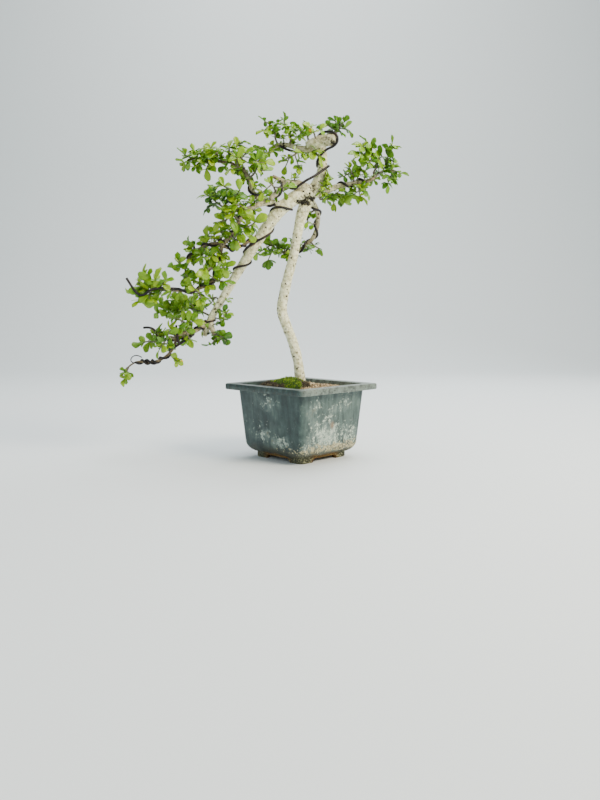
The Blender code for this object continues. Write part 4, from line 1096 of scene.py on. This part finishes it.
leaf_total = 0
for number, (name, (wood, points, twigs, size)) in enumerate(SPRAYS.items()):
    dice = random.Random(100 + number)
    extra_dice = random.Random(500 + number)
    heart, stems = spray_routes(wood, points, twigs)
    fine = [tapered([heart, *[spot.xyz for spot in stems[0]]], STEM_RADII, FINE_STEM_STEP)]
    fine += [tapered([spot.xyz for spot in twig], TWIG_RADII, FINE_STEM_STEP) for twig in stems[1:]]
    leaves = []
    for stem in stems:
        slots = leaf_slots(stem, dice, size)
        # Leaves toward the tip are lighter: partly young growth, partly painted shade on the leaves deeper in
        # the spray
        leaves += [(slot, YOUNG_AND_LIT_TIP * (1.0 - place / len(slots))) for place, slot in enumerate(slots)]
    yellow = beside(leaves[0][0], extra_dice)
    if name in YELLOWED:
        leaves.append((yellow, YELLOW_SHIFT))
    mood = "deep" if name in DEEP_SPRAYS else "lime" if name in LIME_SPRAYS else "mid"
    looks = (mood, DENSE_TWINS if name in DENSE_SPRAYS else SPRAY_TWINS)
    foot = stems[0][0].xyz
    leaf_total += leafy_piece(f"shoot_{name}", foot, fine, leaves, looks, extra_dice, f"spray_{name}", True)
print(leaf_total, "leaves")

# %% [markdown]
# ## Dwarf shoots
#
# Between the long sprays the branches carry dwarf shoots: a knobby spur a few millimetres long with a
# rosette of small leaves on it. They crowd along the young wood and hide it. Each is placed by a rule:
# at even steps along a branch, turned by the golden angle, and leaning out from the bark.

# %% A rosette on every spur
# For each branch: where the spurs begin and end as shares of it, the step in mm, leaf size and shade
SPURS = {
    "top_left": (0.34, 0.97, 6.5, 0.85, "mid"), "mid": (0.25, 0.98, 7, 0.95, "lime"),
    "far_left": (0.12, 0.98, 7, 0.95, "mid"), "left": (0.22, 0.98, 6, 0.95, "mid"),
    "front_arm": (0.35, 0.95, 12, 0.85, "mid"), "drop": (0.2, 0.98, 7, 1, "mid"),
    "drop_left": (0.1, 0.98, 8, 1.05, "lime"), "drop_down": (0.12, 0.98, 7.5, 1.1, "lime"),
    "right": (0.66, 0.98, 5, 0.9, "mid"), "back": (0.7, 0.99, 3.6, 1, "deep"),
    "low_front": (0.25, 0.98, 8, 1.15, "mid"), "low_left": (0.15, 0.98, 8, 1.1, "lime"),
    "cascade_end": (0.4, 0.98, 6, 0.85, "deep"), "tail": (0.04, 0.3, 7, 0.9, "mid"),
}
# Rosettes that stand alone: the branch, the share along it, the way out, the spur's length, leaf size, shade
LONE_SPURS = [
    ("leader", 0.14, (1, -0.6, -0.1), 5, 1, "lime"), ("leader", 0.22, (1, -0.6, 0.1), 4.5, 1, "lime"),
    ("leader", 0.32, (1, -0.6, 0.2), 3.5, 0.9, "lime"), ("tail", 0.99, (-0.2, -0.5, -1), 7, 1, "lime"),
    ("tail", 0.98, (-0.4, 0.3, -0.9), 8, 1, "lime"), ("front_arm", 0.45, (0.2, -1, 0.2), 5, 1.15, "lime"),
    ("back", 0.28, (-1, -0.6, -0.3), 7, 1, "mid"), ("back", 0.38, (-1, -0.4, -0.2), 5, 0.9, "mid"),
    ("cascade", 0.62, (-0.9, -0.7, 0.1), 3, 0.55, "mid"), ("cascade", 0.8, (1, -0.2, 0.4), 6, 0.95, "mid"),
    ("cascade", 0.9, (1, -0.3, -0.1), 7, 1.05, "mid"),
    ("cascade_end", 0.7, (0.9, -0.5, -0.5), 8, 1.1, "deep"),
    ("stub", 0.55, (0.1, -0.4, 1), 4, 0.85, "deep"), ("back", 0.8, (0.1, -1, 0.5), 5, 1.1, "deep"),
    ("back", 0.9, (0, -0.8, -0.8), 6, 1.1, "mid"), ("back", 0.97, (-0.3, -0.8, 0.7), 5, 1.1, "deep"),
    ("back", 0.86, (0.1, -0.5, 1), 9, 1.05, "mid"), ("link", 0.6, (0.2, -0.9, 0.8), 4, 1.1, "deep"),
    ("right", 0.3, (0, -0.6, -1), 6, 0.95, "deep"),
]
SPUR_LENGTH = (1.5, 4.5)
SPUR_RADII = (1.2, 0.9)
SPUR_STEP = 1.5
SPUR_SPREAD = (0.7, 1.3)
ROSETTE = (3, 5)
ROSETTE_LEAN = (0.25, 1.1)
ROSETTE_LENGTH = (7.5, 13.0)
ROSETTE_RISE = Vector((0.0, 0.0, 1.0))
SPUR_TWINS = (0, 1, 2)


def spur(spot, out, reach, size, dice):
    """A spur from the bark with a rosette at its end: its stem route, and its leaf slots."""
    end = spot.xyz + out * (spot.w + reach)
    leaves = []
    turn = dice.uniform(0, 2 * math.pi)
    for _ in range(dice.randint(*ROSETTE)):
        turn += GOLDEN_TURN
        lean = out * dice.uniform(*ROSETTE_LEAN)
        direction = (lean + turned(turn, out) + Vector((0, 0, 0.25))).normalized()
        face = squared(out * 0.6 + ROSETTE_RISE + jitter(dice, 0.6), direction)
        slot = (end + direction * 0.5, direction, face, dice.uniform(*ROSETTE_LENGTH) * size)
        if not hides_wire(slot):
            leaves.append((slot, YOUNG_AND_LIT_TIP / 2))
    return tapered([spot.xyz, (spot.xyz + end) / 2 + Vector((0, 0, 0.3)), end], SPUR_RADII, SPUR_STEP), leaves


spur_total = 0
for number, (name, (start, end, step, size, mood)) in enumerate(SPURS.items()):
    dice = random.Random(700 + number)
    route = fine_wood[name]
    length = lengths_along(route)[-1]
    distance = start * length
    turn = dice.uniform(0, 2 * math.pi)
    stems = []
    leaves = []
    while distance < end * length:
        spot, along = spot_at(route, distance)
        turn += GOLDEN_TURN
        out = (turned(turn, along) + Vector((0, 0, 0.35)) + along * 0.2).normalized()
        stem, rosette = spur(spot, out, dice.uniform(*SPUR_LENGTH), size, dice)
        stems.append(stem)
        leaves += rosette
        distance += step * dice.uniform(*SPUR_SPREAD)
    looks = (mood, SPUR_TWINS)
    spur_total += leafy_piece(f"spurs_{name}", route[0].xyz, stems, leaves, looks, dice, "tree", False)
for number, (name, share, out, reach, size, mood) in enumerate(LONE_SPURS):
    dice = random.Random(800 + number)
    spot, _ = spot_at(fine_wood[name], share * lengths_along(fine_wood[name])[-1])
    stem, leaves = spur(spot, Vector(out).normalized(), reach, size, dice)
    title = f"rosette_{number}_{name}"
    spur_total += leafy_piece(title, spot.xyz, [stem], leaves, (mood, SPUR_TWINS), dice, "tree", False)
print(spur_total, "leaves on spurs")

# %% [markdown]
# ## Soil
#
# Bonsai grow in coarse grit, here a tan and pinkish crushed clay of 1 to 3 mm grains. The pot is
# filled with one block whose top rolls gently, and a few thousand faceted grains lie on it. Each grain
# is a small rounded lump with its own shade, so the surface is rough from any side.

# %% Soil shape and grit material
SOIL_LEVEL = 96.0
SOIL_RISE = 5.5
SOIL_RISE_REACH = 42.0
SOIL_RIPPLE = 0.9
SOIL_WAVES = (7.3, 6.1, 11.0)
SOIL_CLEARANCE = 0.35
BODY_TOP_SIDE = 127.4
WAIST_SIDE = 114.4
WAIST_HEIGHT = 23.0
BASE_SIDE = 91.3
BASE_HEIGHT = 8.0
BODY_CORNER = 7.0
WALL = 2.6
FLOOR = 3.0


def soil_height(x, y):
    """Height of the soil: raised round the trunk, with low ripples."""
    rise = SOIL_RISE * math.exp(-(x * x + y * y) / SOIL_RISE_REACH ** 2)
    across, back, slant = SOIL_WAVES
    ripple = math.cos(x / across) * math.sin(y / back) + math.sin((x - y) / slant) / 2
    return SOIL_LEVEL + rise + SOIL_RIPPLE * ripple


def crushed_clay(add):
    """Dry fired clay grit: matt, from pale sand to brown, with a pinkish cast."""
    where = add("TexCoord", out="Object")
    tint = add("Attribute", out="Fac", attribute_name="tint")
    dust = add("TexNoise", {"Vector": where, "Scale": 1 / (1.2 * MM), "Detail": 4.0, "Roughness": 0.7})
    mixed = add("Math", [dust, 0.35, tint], operation="MULTIPLY_ADD")
    colour = add("ValToRGB", [mixed], [
        (0.12, "#2b2217"), (0.38, "#6b5840"), (0.60, "#978464"), (0.80, "#b7a482"), (0.98, "#dccaa4")])
    return {"Base Color": colour, "Roughness": 0.95, "IOR": 1.4,
            "Normal": add("Bump", {"Height": dust, "Strength": 0.7, "Distance": 0.4 * MM})}


grit_finish = new_material("crushed_clay_grit", crushed_clay)
print("soil at the trunk stands", round(soil_height(0, 0), 1), "mm up")

# %% The filled block
SOIL_CELLS = 70
soil_top_side = BODY_TOP_SIDE - 2 * (WALL + SOIL_CLEARANCE)
soil_levels = [
    (BASE_HEIGHT + FLOOR + SOIL_CLEARANCE, BASE_SIDE - 2 * SOIL_CLEARANCE),
    (WAIST_HEIGHT + FLOOR, WAIST_SIDE - 2 * (WALL + SOIL_CLEARANCE)),
]
quarter = Matrix.Rotation(math.radians(45), 3, "Z")

fill = bmesh.new()
fill_tint = fill.verts.layers.float.new("tint")
bmesh.ops.create_grid(fill, x_segments=SOIL_CELLS, y_segments=SOIL_CELLS, size=0.5)
rim_edges = [edge for edge in fill.edges if edge.is_boundary]
for height, _ in reversed(soil_levels):
    lower = bmesh.ops.extrude_edge_only(fill, edges=rim_edges)["geom"]
    for vert in [item for item in lower if isinstance(item, bmesh.types.BMVert)]:
        vert.co.z = height
    rim_edges = [item for item in lower if isinstance(item, bmesh.types.BMEdge) and item.is_boundary]
bmesh.ops.holes_fill(fill, edges=rim_edges)


def rounded(x, y, side):
    """A point of a unit square spread over a square of this side, and kept inside its rounded corners."""
    corner = BODY_CORNER - WALL - SOIL_CLEARANCE
    inner = side / 2 - corner
    over = Vector((max(0.0, abs(x * side) - inner), max(0.0, abs(y * side) - inner)))
    if over.x and over.y and over.length > corner:
        over *= corner / over.length
        return Vector((math.copysign(inner + over.x, x), math.copysign(inner + over.y, y), 0.0))
    return Vector((x * side, y * side, 0.0))


sides = {round(height, 3): side for height, side in soil_levels}
for vert in fill.verts:
    side = sides.get(round(vert.co.z, 3), soil_top_side - 1.2)
    place = quarter @ rounded(vert.co.x, vert.co.y, side) + Vector((POT_CENTRE, 0.0, 0.0))
    rough = 0.7 * noise.noise(place / 3.0) + 0.4 * noise.noise((place + Vector((0, 0, 5))) / 1.4)
    place.z = vert.co.z if vert.co.z > 0 else soil_height(place.x, place.y) + rough
    vert.co = world(place)
    vert[fill_tint] = 0.28 + 0.2 * rough
bmesh.ops.recalc_face_normals(fill, faces=fill.faces[:])
finish_piece("soil_fill", fill, [grit_finish], "soil")
print(SOIL_CELLS ** 2, "cells of soil")

# %% The grains on it
GRAIN_COUNT = 3400
GRAIN_RADIUS = (0.6, 1.5)
LARGE_GRAINS = 0.12
LARGER = 1.35
GRAIN_SHADE = (0.46, 0.22)
HANDFUL = 100

dice = random.Random(11)
grains = bmesh.new()
grains.verts.layers.float.new("tint")
reach = soil_top_side / 2 - 2.0
for _ in range(GRAIN_COUNT // HANDFUL):
    handful = bmesh.new()
    grain_tint = handful.verts.layers.float.new("tint")
    for _ in range(HANDFUL):
        place = quarter @ Vector((dice.uniform(-reach, reach), dice.uniform(-reach, reach), 0.0))
        place.x += POT_CENTRE
        size = dice.uniform(*GRAIN_RADIUS) * (LARGER if dice.random() < LARGE_GRAINS else 1.0)
        place.z = soil_height(place.x, place.y) + size * dice.uniform(-0.1, 0.7)
        squash = (size, size * dice.uniform(0.6, 1.0), size * dice.uniform(0.5, 0.9), 1 / MM)
        turn = Matrix.Rotation(dice.uniform(0, 6.3), 4, jitter(dice, 1))
        matrix = Matrix.Translation(world(place)) @ turn @ (Matrix.Diagonal(squash) * MM)
        lump = bmesh.ops.create_icosphere(handful, subdivisions=1, radius=1.0, matrix=matrix)["verts"]
        shade = min(0.95, max(0.05, dice.gauss(*GRAIN_SHADE)))
        for vert in lump:
            vert[grain_tint] = shade
    gather(grains, handful)
finish_piece("soil_grains", grains, [grit_finish], "soil", False)
print(GRAIN_COUNT, "grains")

# %% [markdown]
# ## Moss
#
# One clump of cushion moss lies against the trunk's foot: fresh green in its middle, brown and dead at
# its left end, with crumbs of bark at its right. It is a low dome with thousands of short pointed tufts
# standing out of it, as moss shoots do.

# %% Moss material
MOSS_CENTRE = (-19.0, -23.0)
MOSS_REACH = (33.0, 19.0)
MOSS_HEIGHT = 13.5
MOSS_SCALLOPS = [(3, 0.10), (5, 0.06)]
MOSS_LUMPS = (7.0, 6.0)
MOSS_LUMP = 0.10


def cushion_moss(add):
    """Living and dead moss: soft, matt, yellow-green at the tips, dark between them, brown where dry."""
    where = add("TexCoord", out="Object")
    tint, alive = [add("Attribute", out="Fac", attribute_name=name) for name in ("tint", "alive")]
    speck = add("TexNoise", {"Vector": where, "Scale": 1 / (1.8 * MM), "Detail": 4.0, "Roughness": 0.7})
    mixed = add("Math", [speck, 0.4, tint], operation="MULTIPLY_ADD")
    green = add("ValToRGB", [mixed], [
        (0.18, "#142406"), (0.48, "#3d6208"), (0.76, "#6f9210"), (1.0, "#b4c238")])
    brown = add("ValToRGB", [mixed], [(0.20, "#1d1a13"), (0.60, "#40392b"), (1.0, "#857a5c")])
    return {"Base Color": add("Mix", {0: alive, 6: brown, 7: green}, **AS_COLOUR), "Roughness": 0.92,
            "IOR": 1.4, "Normal": add("Bump", {"Height": speck, "Strength": 0.8, "Distance": 0.5 * MM})}


moss_finish = new_material("cushion_moss", cushion_moss)

# %% The clump and its tufts
TUFT_COUNT = 2600
TUFT_HEIGHT = (1.1, 2.4)
TUFT_RADIUS = (0.35, 0.7)
TUFT_SHADE = (0.0, 0.55)
TIP_LIGHTER = 0.30
MOSS_SINK = 1.2


def life(x, y, crown):
    """How green the moss is: dead at its left end but for its crown, patchy at the right by the trunk."""
    along = (x - MOSS_CENTRE[0]) / MOSS_REACH[0]
    patch = noise.noise(Vector((x, y, 3)) / 5.0)
    left = min(max((along + 0.06 + 0.35 * patch + 2.4 * max(0.0, crown - 0.66)) / 0.12, 0.0), 1.0)
    right = min(max((0.74 - along + 0.35 * patch) / 0.16, 0.0), 1.0)
    return left * right


clump = bmesh.new()
clump_tint, clump_life = [clump.verts.layers.float.new(name) for name in ("tint", "alive")]
dome = bmesh.ops.create_icosphere(clump, subdivisions=5, radius=1.0)["verts"]
for vert in dome:
    angle = math.atan2(vert.co.y, vert.co.x)
    edge = 1.0 + sum(depth * math.sin(number * angle) for number, depth in MOSS_SCALLOPS)
    lump = 1.0 + MOSS_LUMP * math.sin(MOSS_LUMPS[0] * vert.co.x) * math.sin(MOSS_LUMPS[1] * vert.co.y)
    x = MOSS_CENTRE[0] + MOSS_REACH[0] * vert.co.x * edge
    y = MOSS_CENTRE[1] + MOSS_REACH[1] * vert.co.y * edge
    soft = 0.9 * noise.noise(Vector((x, y, 0)) / 5.0)
    vert[clump_tint] = 0.05
    vert[clump_life] = life(x, y, vert.co.z)
    vert.co = world(Vector((x, y, soil_height(x, y) + MOSS_HEIGHT * vert.co.z * lump + soft - MOSS_SINK)))
bmesh.ops.bisect_plane(clump, geom=clump.verts[:] + clump.edges[:] + clump.faces[:], clear_inner=True,
                       plane_co=(0, 0, (SOIL_LEVEL - 3) * MM), plane_no=(0, 0, 1))
bmesh.ops.holes_fill(clump, edges=[edge for edge in clump.edges if edge.is_boundary])
bmesh.ops.recalc_face_normals(clump, faces=clump.faces[:])
clump.normal_update()
dice = random.Random(21)
upper = [vert for vert in clump.verts if vert.normal.z > 0.02]
seats = [(vert.co.copy(), vert.normal.copy(), vert[clump_life]) for vert in upper]
for _ in range(TUFT_COUNT // HANDFUL):
    tufts = bmesh.new()
    tuft_tint, tuft_life = [tufts.verts.layers.float.new(name) for name in ("tint", "alive")]
    for _ in range(HANDFUL):
        seat, normal, alive = dice.choice(seats)
        height = dice.uniform(*TUFT_HEIGHT)
        lean = normal + jitter(dice, 0.5) + Vector((0, 0, 0.5))
        turn = lean.to_track_quat("Z", "Y").to_matrix().to_4x4()
        spread = jitter(dice, 0.5) * MM
        lift = Matrix.Translation(seat + spread) @ turn @ Matrix.Translation((0, 0, height * 0.35 * MM))
        tuft = bmesh.ops.create_cone(
            tufts, cap_ends=True, segments=4, radius1=dice.uniform(*TUFT_RADIUS) * MM, radius2=0.0,
            depth=height * MM, matrix=lift)["verts"]
        shade = dice.uniform(*TUFT_SHADE)
        for vert in tuft:
            tip = (vert.co - seat).dot(lean.normalized()) > height * 0.5 * MM
            vert[tuft_tint] = shade + (TIP_LIGHTER if tip else 0.0)
            vert[tuft_life] = alive
    gather(clump, tufts)
finish_piece("moss_clump", clump, [moss_finish], "moss")
print(TUFT_COUNT, "tufts")

# %% [markdown]
# ## The pot
#
# A moulded plastic training pot: square, tapered, with a flat flange, a tucked-in foot and low arches
# between its four feet. The walls are lofted from square rings whose upright corners are bevelled, and
# the inside, the groove under the flange, the arches and the drain holes are cut out of it.

# %% Square rings and cuts
RIM_SIDE = 152.5
RIM_HEIGHT = 8.0
RIM_LIP = 3.0
RIM_PLATE = 2.6
RIM_CORNER = 5.0
POT_HEIGHT = 103.0
FOOT_WALL = 6.0
RECESS_CORNER = 2.0
ARCH_WIDTH = 46.0
ARCH_MIDDLE = BASE_SIDE / math.sqrt(8)
ARCH_HEIGHT = 5.5
ARCH_ROUND = 3.8
DRAIN_RADIUS = 5.0
DRAIN_PLACE = 21.0
CORNER_CUTS = 7
ARCH_CUTS = 5
SOFT_EDGE = 0.6
TUCK_STEPS = 6
TUCK_FULLNESS = 0.9


def bevelled(shape, edges, offset, segments):
    """Round the edges of a shape by an offset in millimetres."""
    bmesh.ops.bevel(shape, geom=edges, offset=offset * MM, offset_type="OFFSET", segments=segments,
                    profile=0.5, affect="EDGES", material=-1)


def square_block(name, levels, corner):
    """A closed block through square outlines of (height, side), one corner forward, upright edges rounded."""
    shape = bmesh.new()
    rings = []
    for height, side in levels:
        place = Matrix.Translation((0, 0, height * MM))
        ring = bmesh.ops.create_circle(shape, segments=4, radius=side * MM / math.sqrt(2), matrix=place)
        rings.append(ring["verts"])
    for lower, upper in zip(rings, rings[1:]):
        both = lower + upper
        sides = [edge for edge in shape.edges if all(vert in both for vert in edge.verts)]
        bmesh.ops.bridge_loops(shape, edges=sides)
    bmesh.ops.contextual_create(shape, geom=rings[0])
    bmesh.ops.contextual_create(shape, geom=rings[-1])
    upright = [edge for edge in shape.edges if abs(edge.verts[0].co.z - edge.verts[1].co.z) > 0.1 * MM]
    bevelled(shape, upright, corner, CORNER_CUTS)
    bmesh.ops.recalc_face_normals(shape, faces=shape.faces[:])
    return new_object(name, mesh_of(name, shape))


def cut(target, tools, operation="DIFFERENCE"):
    """Cut tools out of the target one after another, and remove them."""
    for tool in tools:
        boolean = target.modifiers.new("cut", "BOOLEAN")
        boolean.operation = operation
        boolean.object = tool
        boolean.solver = "EXACT"
    target.data = evaluated(target)
    target.modifiers.clear()
    for tool in tools:
        bpy.data.objects.remove(tool, do_unlink=True)


tuck = []
for step in range(TUCK_STEPS + 1):
    angle = math.radians(90 * step / TUCK_STEPS)
    out = BASE_SIDE + (WAIST_SIDE - BASE_SIDE) * math.sin(angle) ** TUCK_FULLNESS
    tuck.append((BASE_HEIGHT + (WAIST_HEIGHT - BASE_HEIGHT) * (1 - math.cos(angle)) ** TUCK_FULLNESS, out))
rim_base = POT_HEIGHT - RIM_HEIGHT
lip_side = RIM_SIDE - 2 * RIM_LIP
inner_top = BODY_TOP_SIDE - 2 * WALL
recess_side = BASE_SIDE - 2 * FOOT_WALL
pot = square_block("training_pot", [
    (0.0, BASE_SIDE - 1.0), (0.6, BASE_SIDE), *tuck,
    (POT_HEIGHT - RIM_PLATE / 2, BODY_TOP_SIDE)], BODY_CORNER)
rim = square_block("rim", [
    (rim_base, RIM_SIDE - 1.2), (rim_base + SOFT_EDGE, RIM_SIDE), (POT_HEIGHT - SOFT_EDGE, RIM_SIDE),
    (POT_HEIGHT, RIM_SIDE - 1.4)], RIM_CORNER)
groove_levels = [(rim_base - 1, lip_side), (POT_HEIGHT - RIM_PLATE, lip_side)]
cut(rim, [square_block("groove", groove_levels, RIM_CORNER - RIM_LIP / 2)])
cut(pot, [rim], "UNION")
tools = [
    square_block("inside", [
        (BASE_HEIGHT + FLOOR, BASE_SIDE), (WAIST_HEIGHT + FLOOR, WAIST_SIDE - 2 * WALL),
        (POT_HEIGHT - SOFT_EDGE, inner_top), (POT_HEIGHT + 0.2, inner_top + 1.6)], BODY_CORNER - WALL),
    square_block("recess", [(-1, recess_side), (BASE_HEIGHT, recess_side)], RECESS_CORNER),
]
for number in range(2):
    arch = bmesh.new()
    turn = Matrix.Rotation(math.radians(45 + 90 * number), 4, "Z")
    size = Matrix.Diagonal((ARCH_WIDTH * MM, RIM_SIDE * MM, 2 * ARCH_HEIGHT * MM, 1.0))
    bmesh.ops.create_cube(arch, size=1.0, matrix=turn @ size)
    bevelled(arch, arch.edges[:], ARCH_ROUND, ARCH_CUTS)
    tools.append(new_object(f"arch_{number}", mesh_of("arch", arch)))
for number in range(4):
    drain = bmesh.new()
    lift = Matrix.Translation((DRAIN_PLACE * MM, 0, (BASE_HEIGHT + FLOOR / 2) * MM))
    bmesh.ops.create_cone(drain, cap_ends=True, segments=24, radius1=DRAIN_RADIUS * MM,
                          radius2=DRAIN_RADIUS * MM, depth=3 * FLOOR * MM,
                          matrix=Matrix.Rotation(math.radians(90 * number), 4, "Z") @ lift)
    tools.append(new_object(f"drain_{number}", mesh_of("drain", drain)))
cut(pot, tools)
print("the pot has", len(pot.data.polygons), "faces")

# %% [markdown]
# ## Weathered plastic
#
# The pot was a plain dark blue-green. Hard water has left it chalky: pale lime creeps up from the
# bottom, most on the right face, with a thin bloom round each patch and scratches of it on the left.
# The tuck is grimy, and the lower edge and feet carry a crust of ochre and rust, darkened as
# painted shadow under the pot. Masks of noise, height and side lay these over one another.

# %% Pot material
# Each noise of the plastic: the size of its features in mm, its detail and its roughness
PLASTIC_NOISES = {
    "cloud": (22, 7.0, 0.62), "streaks": (6, 6.0, 0.62), "chips": (6.2, 12.0, 0.76),
    "flecks": (2.1, 5.0, 0.72), "veil": (30, 4.0, 0.55), "crumbs": (4.2, 8.0, 0.7), "dirt": (5, 9.0, 0.72),
}
STREAK_STRETCH = 6.0
# Where lime has settled, seen from the front: across and up from the pot's middle foot, reach, strength
LIME_PATCHES = [
    (34, 36, 26, 30, 1.0), (40, 62, 14, 20, 0.6), (66, 34, 16, 20, 0.85), (12, 24, 16, 14, 0.7),
    (-53, 36, 11, 13, 0.85), (-26, 27, 17, 9, 0.85), (-48, 82, 13, 16, 0.55), (60, 80, 10, 14, 0.6),
    (22, 78, 12, 16, 0.45),
]
RUST_SPOT = (42, 50, 2.8, 5.2, 0.7)


def limed_plastic(add):
    """Moulded plastic, slate green under chalky lime: satin where clean, matt and rough where crusted."""
    where = add("TexCoord", out="Object")
    centred = add("Mapping", {"Vector": where, "Location": (-POT_X, 0.0, 0.0)})
    drawn_out = add("Mapping", {"Vector": centred, "Scale": (1.0, 1.0, 1 / STREAK_STRETCH)})
    across, up = [add("SeparateXYZ", [centred], out=axis) for axis in "XZ"]
    cloud, streaks, chips, flecks, veil, crumbs, dirt = [
        add("TexNoise", {"Vector": drawn_out if name == "streaks" else centred, "Scale": 1 / (size * MM),
                         "Detail": detail, "Roughness": roughness})
        for name, (size, detail, roughness) in PLASTIC_NOISES.items()]

    def spot(x, z, reach_x, reach_z, strength):
        """A soft patch round a place on the front of the pot."""
        shifted = add("VectorMath", [centred, (-x * MM, 0.0, -z * MM)], operation="ADD")
        shares = (1 / (reach_x * MM), 0.0, 1 / (reach_z * MM))
        scaled = add("VectorMath", [shifted, shares], operation="MULTIPLY")
        away = add("VectorMath", [scaled], out="Value", operation="LENGTH")
        return add("MapRange", [away, 1.4, 0.2, 0.0, strength])

    patches = 0.0
    for patch in LIME_PATCHES:
        patches = add("Math", [patches, spot(*patch)], operation="MAXIMUM")

    # Clean plastic, in streaks and clouds
    clouded = add("Math", [cloud, 0.55], operation="MULTIPLY")
    tone = add("Math", [streaks, 0.45, clouded], operation="MULTIPLY_ADD")
    plastic = add("ValToRGB", [tone], [
        (0.34, "#172425"), (0.46, "#263737"), (0.56, "#354845"), (0.70, "#546861")])
    # A haze over the right face, in streaks, and a fainter one anywhere
    right = add("MapRange", [across, -2 * MM, 12 * MM, 0.0, 0.36])
    veiled = add("MapRange", [veil, 0.50, 0.66, 0.0, 0.30])
    hazy = add("Math", [right, veiled], operation="MAXIMUM")
    haze = add("Math", [hazy, add("MapRange", [streaks, 0.30, 0.62])], operation="MULTIPLY")
    # Bloom and lime, most where the patches are
    damp = add("Math", [patches, 0.30, cloud], operation="MULTIPLY_ADD")
    bloomed = add("MapRange", [damp, 0.58, 0.92, 0.0, 0.55])
    bloom = add("Math", [bloomed, add("MapRange", [streaks, 0.25, 0.60])], operation="MULTIPLY")
    chalk = add("Math", [patches, 0.17, chips], operation="MULTIPLY_ADD")
    lime = add("MapRange", [chalk, 0.615, 0.665, 0.0, 0.88])
    white = add("ValToRGB", [flecks], [(0.36, "#6b857a"), (0.48, "#a5b6a9"), (0.62, "#d4dbc9")])
    # Grime and scale on the tuck
    grimy = add("MapRange", [up, 24 * MM, 11 * MM, 0.0, 0.80])
    grime = add("Math", [grimy, add("MapRange", [cloud, 0.36, 0.54])], operation="MULTIPLY")
    above_feet = add("MapRange", [up, 9 * MM, 16 * MM])
    tuck = add("Math", [add("MapRange", [up, 34 * MM, 22 * MM]), above_feet], operation="MULTIPLY")
    rightward = add("MapRange", [across, -60 * MM, 30 * MM, 0.0, 0.25])
    tuck_right = add("Math", [tuck, rightward], operation="MULTIPLY")
    crumbled = add("Math", [crumbs, tuck_right], operation="ADD")
    scale = add("MapRange", [crumbled, 0.69, 0.73, 0.0, 0.92])
    ochre = add("ValToRGB", [flecks], [(0.38, "#3c3122"), (0.47, "#8f8460"), (0.62, "#d3cca4")])
    # A crust on the feet, rusty on the arches between them, darkened as painted shadow under the pot
    low = add("MapRange", [up, 13.5 * MM, 6.5 * MM, 0.0, 0.34])
    crust_and_shade = add("MapRange", [add("Math", [cloud, low], operation="ADD"), 0.62, 0.74, 0.0, 0.95])
    sideways = add("Math", [across], operation="ABSOLUTE")
    off_arch = add("Math", [sideways, ARCH_MIDDLE * MM], operation="SUBTRACT")
    off_arch = add("Math", [off_arch], operation="ABSOLUTE")
    arches = add("MapRange", [off_arch, 21 * MM, 14 * MM])
    # Painted shadow: the rust on the arches and the colour of the feet run dark, near black on the feet, for
    # the shade under the pot
    rust_and_shadow = add("ValToRGB", [flecks], [
        (0.34, "#22180c"), (0.46, "#6a3d16"), (0.56, "#6f642f"), (0.66, "#97804a")])
    foot = add("ValToRGB", [flecks], [(0.36, "#12130c"), (0.52, "#3d3f2a"), (0.66, "#a9a782")])
    shaded_edging = add("Mix", {0: arches, 6: foot, 7: rust_and_shadow}, **AS_COLOUR)
    # The rim, bleached on the right and dusty in patches
    rim_band = add("MapRange", [up, (rim_base - 0.5) * MM, rim_base * MM])
    bleached = add("MapRange", [across, -4 * MM, 6 * MM, 0.0, 0.45])
    bleach = add("Math", [rim_band, bleached], operation="MULTIPLY")
    dusty = add("MapRange", [dirt, 0.47, 0.60, 0.0, 0.75])
    dust = add("Math", [rim_band, dusty], operation="MULTIPLY")

    colour = plastic
    for mask, above in ((haze, "#71857b"), (bloom, "#a3b5ac"), (lime, white), (spot(*RUST_SPOT), "#8a6846"),
                        (grime, "#4a4230"), (scale, ochre), (crust_and_shade, shaded_edging), (bleach, "#8d978c"),
                        (dust, "#2b302a")):
        colour = add("Mix", {0: mask, 6: colour, 7: above}, **AS_COLOUR)
    crusted = add("Math", [lime, crust_and_shade], operation="MAXIMUM")
    raised = add("Math", [lime, scale], operation="MAXIMUM")
    height = add("Math", [flecks, 0.25, raised], operation="MULTIPLY_ADD")
    return {"Base Color": colour, "IOR": 1.46,
            "Roughness": add("Math", [crusted, 0.36, 0.48], operation="MULTIPLY_ADD"),
            "Normal": add("Bump", {"Height": height, "Strength": 0.5, "Distance": 0.4 * MM})}


pot_finish = new_material("weathered_plastic", limed_plastic)

# %% Put the pot in its place
SHARP_TURN = math.radians(32)

pot_shape = bmesh.new()
pot_shape.from_mesh(pot.data)
bpy.data.objects.remove(pot, do_unlink=True)
bmesh.ops.translate(pot_shape, verts=pot_shape.verts[:], vec=(POT_X, 0, 0))
pot = finish_piece("training_pot", pot_shape, [pot_finish], "pot")
pot.data.set_sharp_from_angle(angle=SHARP_TURN)
print("pot placed at", round(POT_X / MM, 1), "mm")

# %% [markdown]
# ## Sizes
#
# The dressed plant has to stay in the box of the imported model, so both boxes are written down side by
# side before the script ends.

# %% Write both boxes
visual_box = [list(corner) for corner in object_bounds()]
for title, box in (("packed", cad_box), ("dressed", visual_box)):
    print(title, [round((high - low) / MM, 1) for low, high in zip(*box)], "mm")
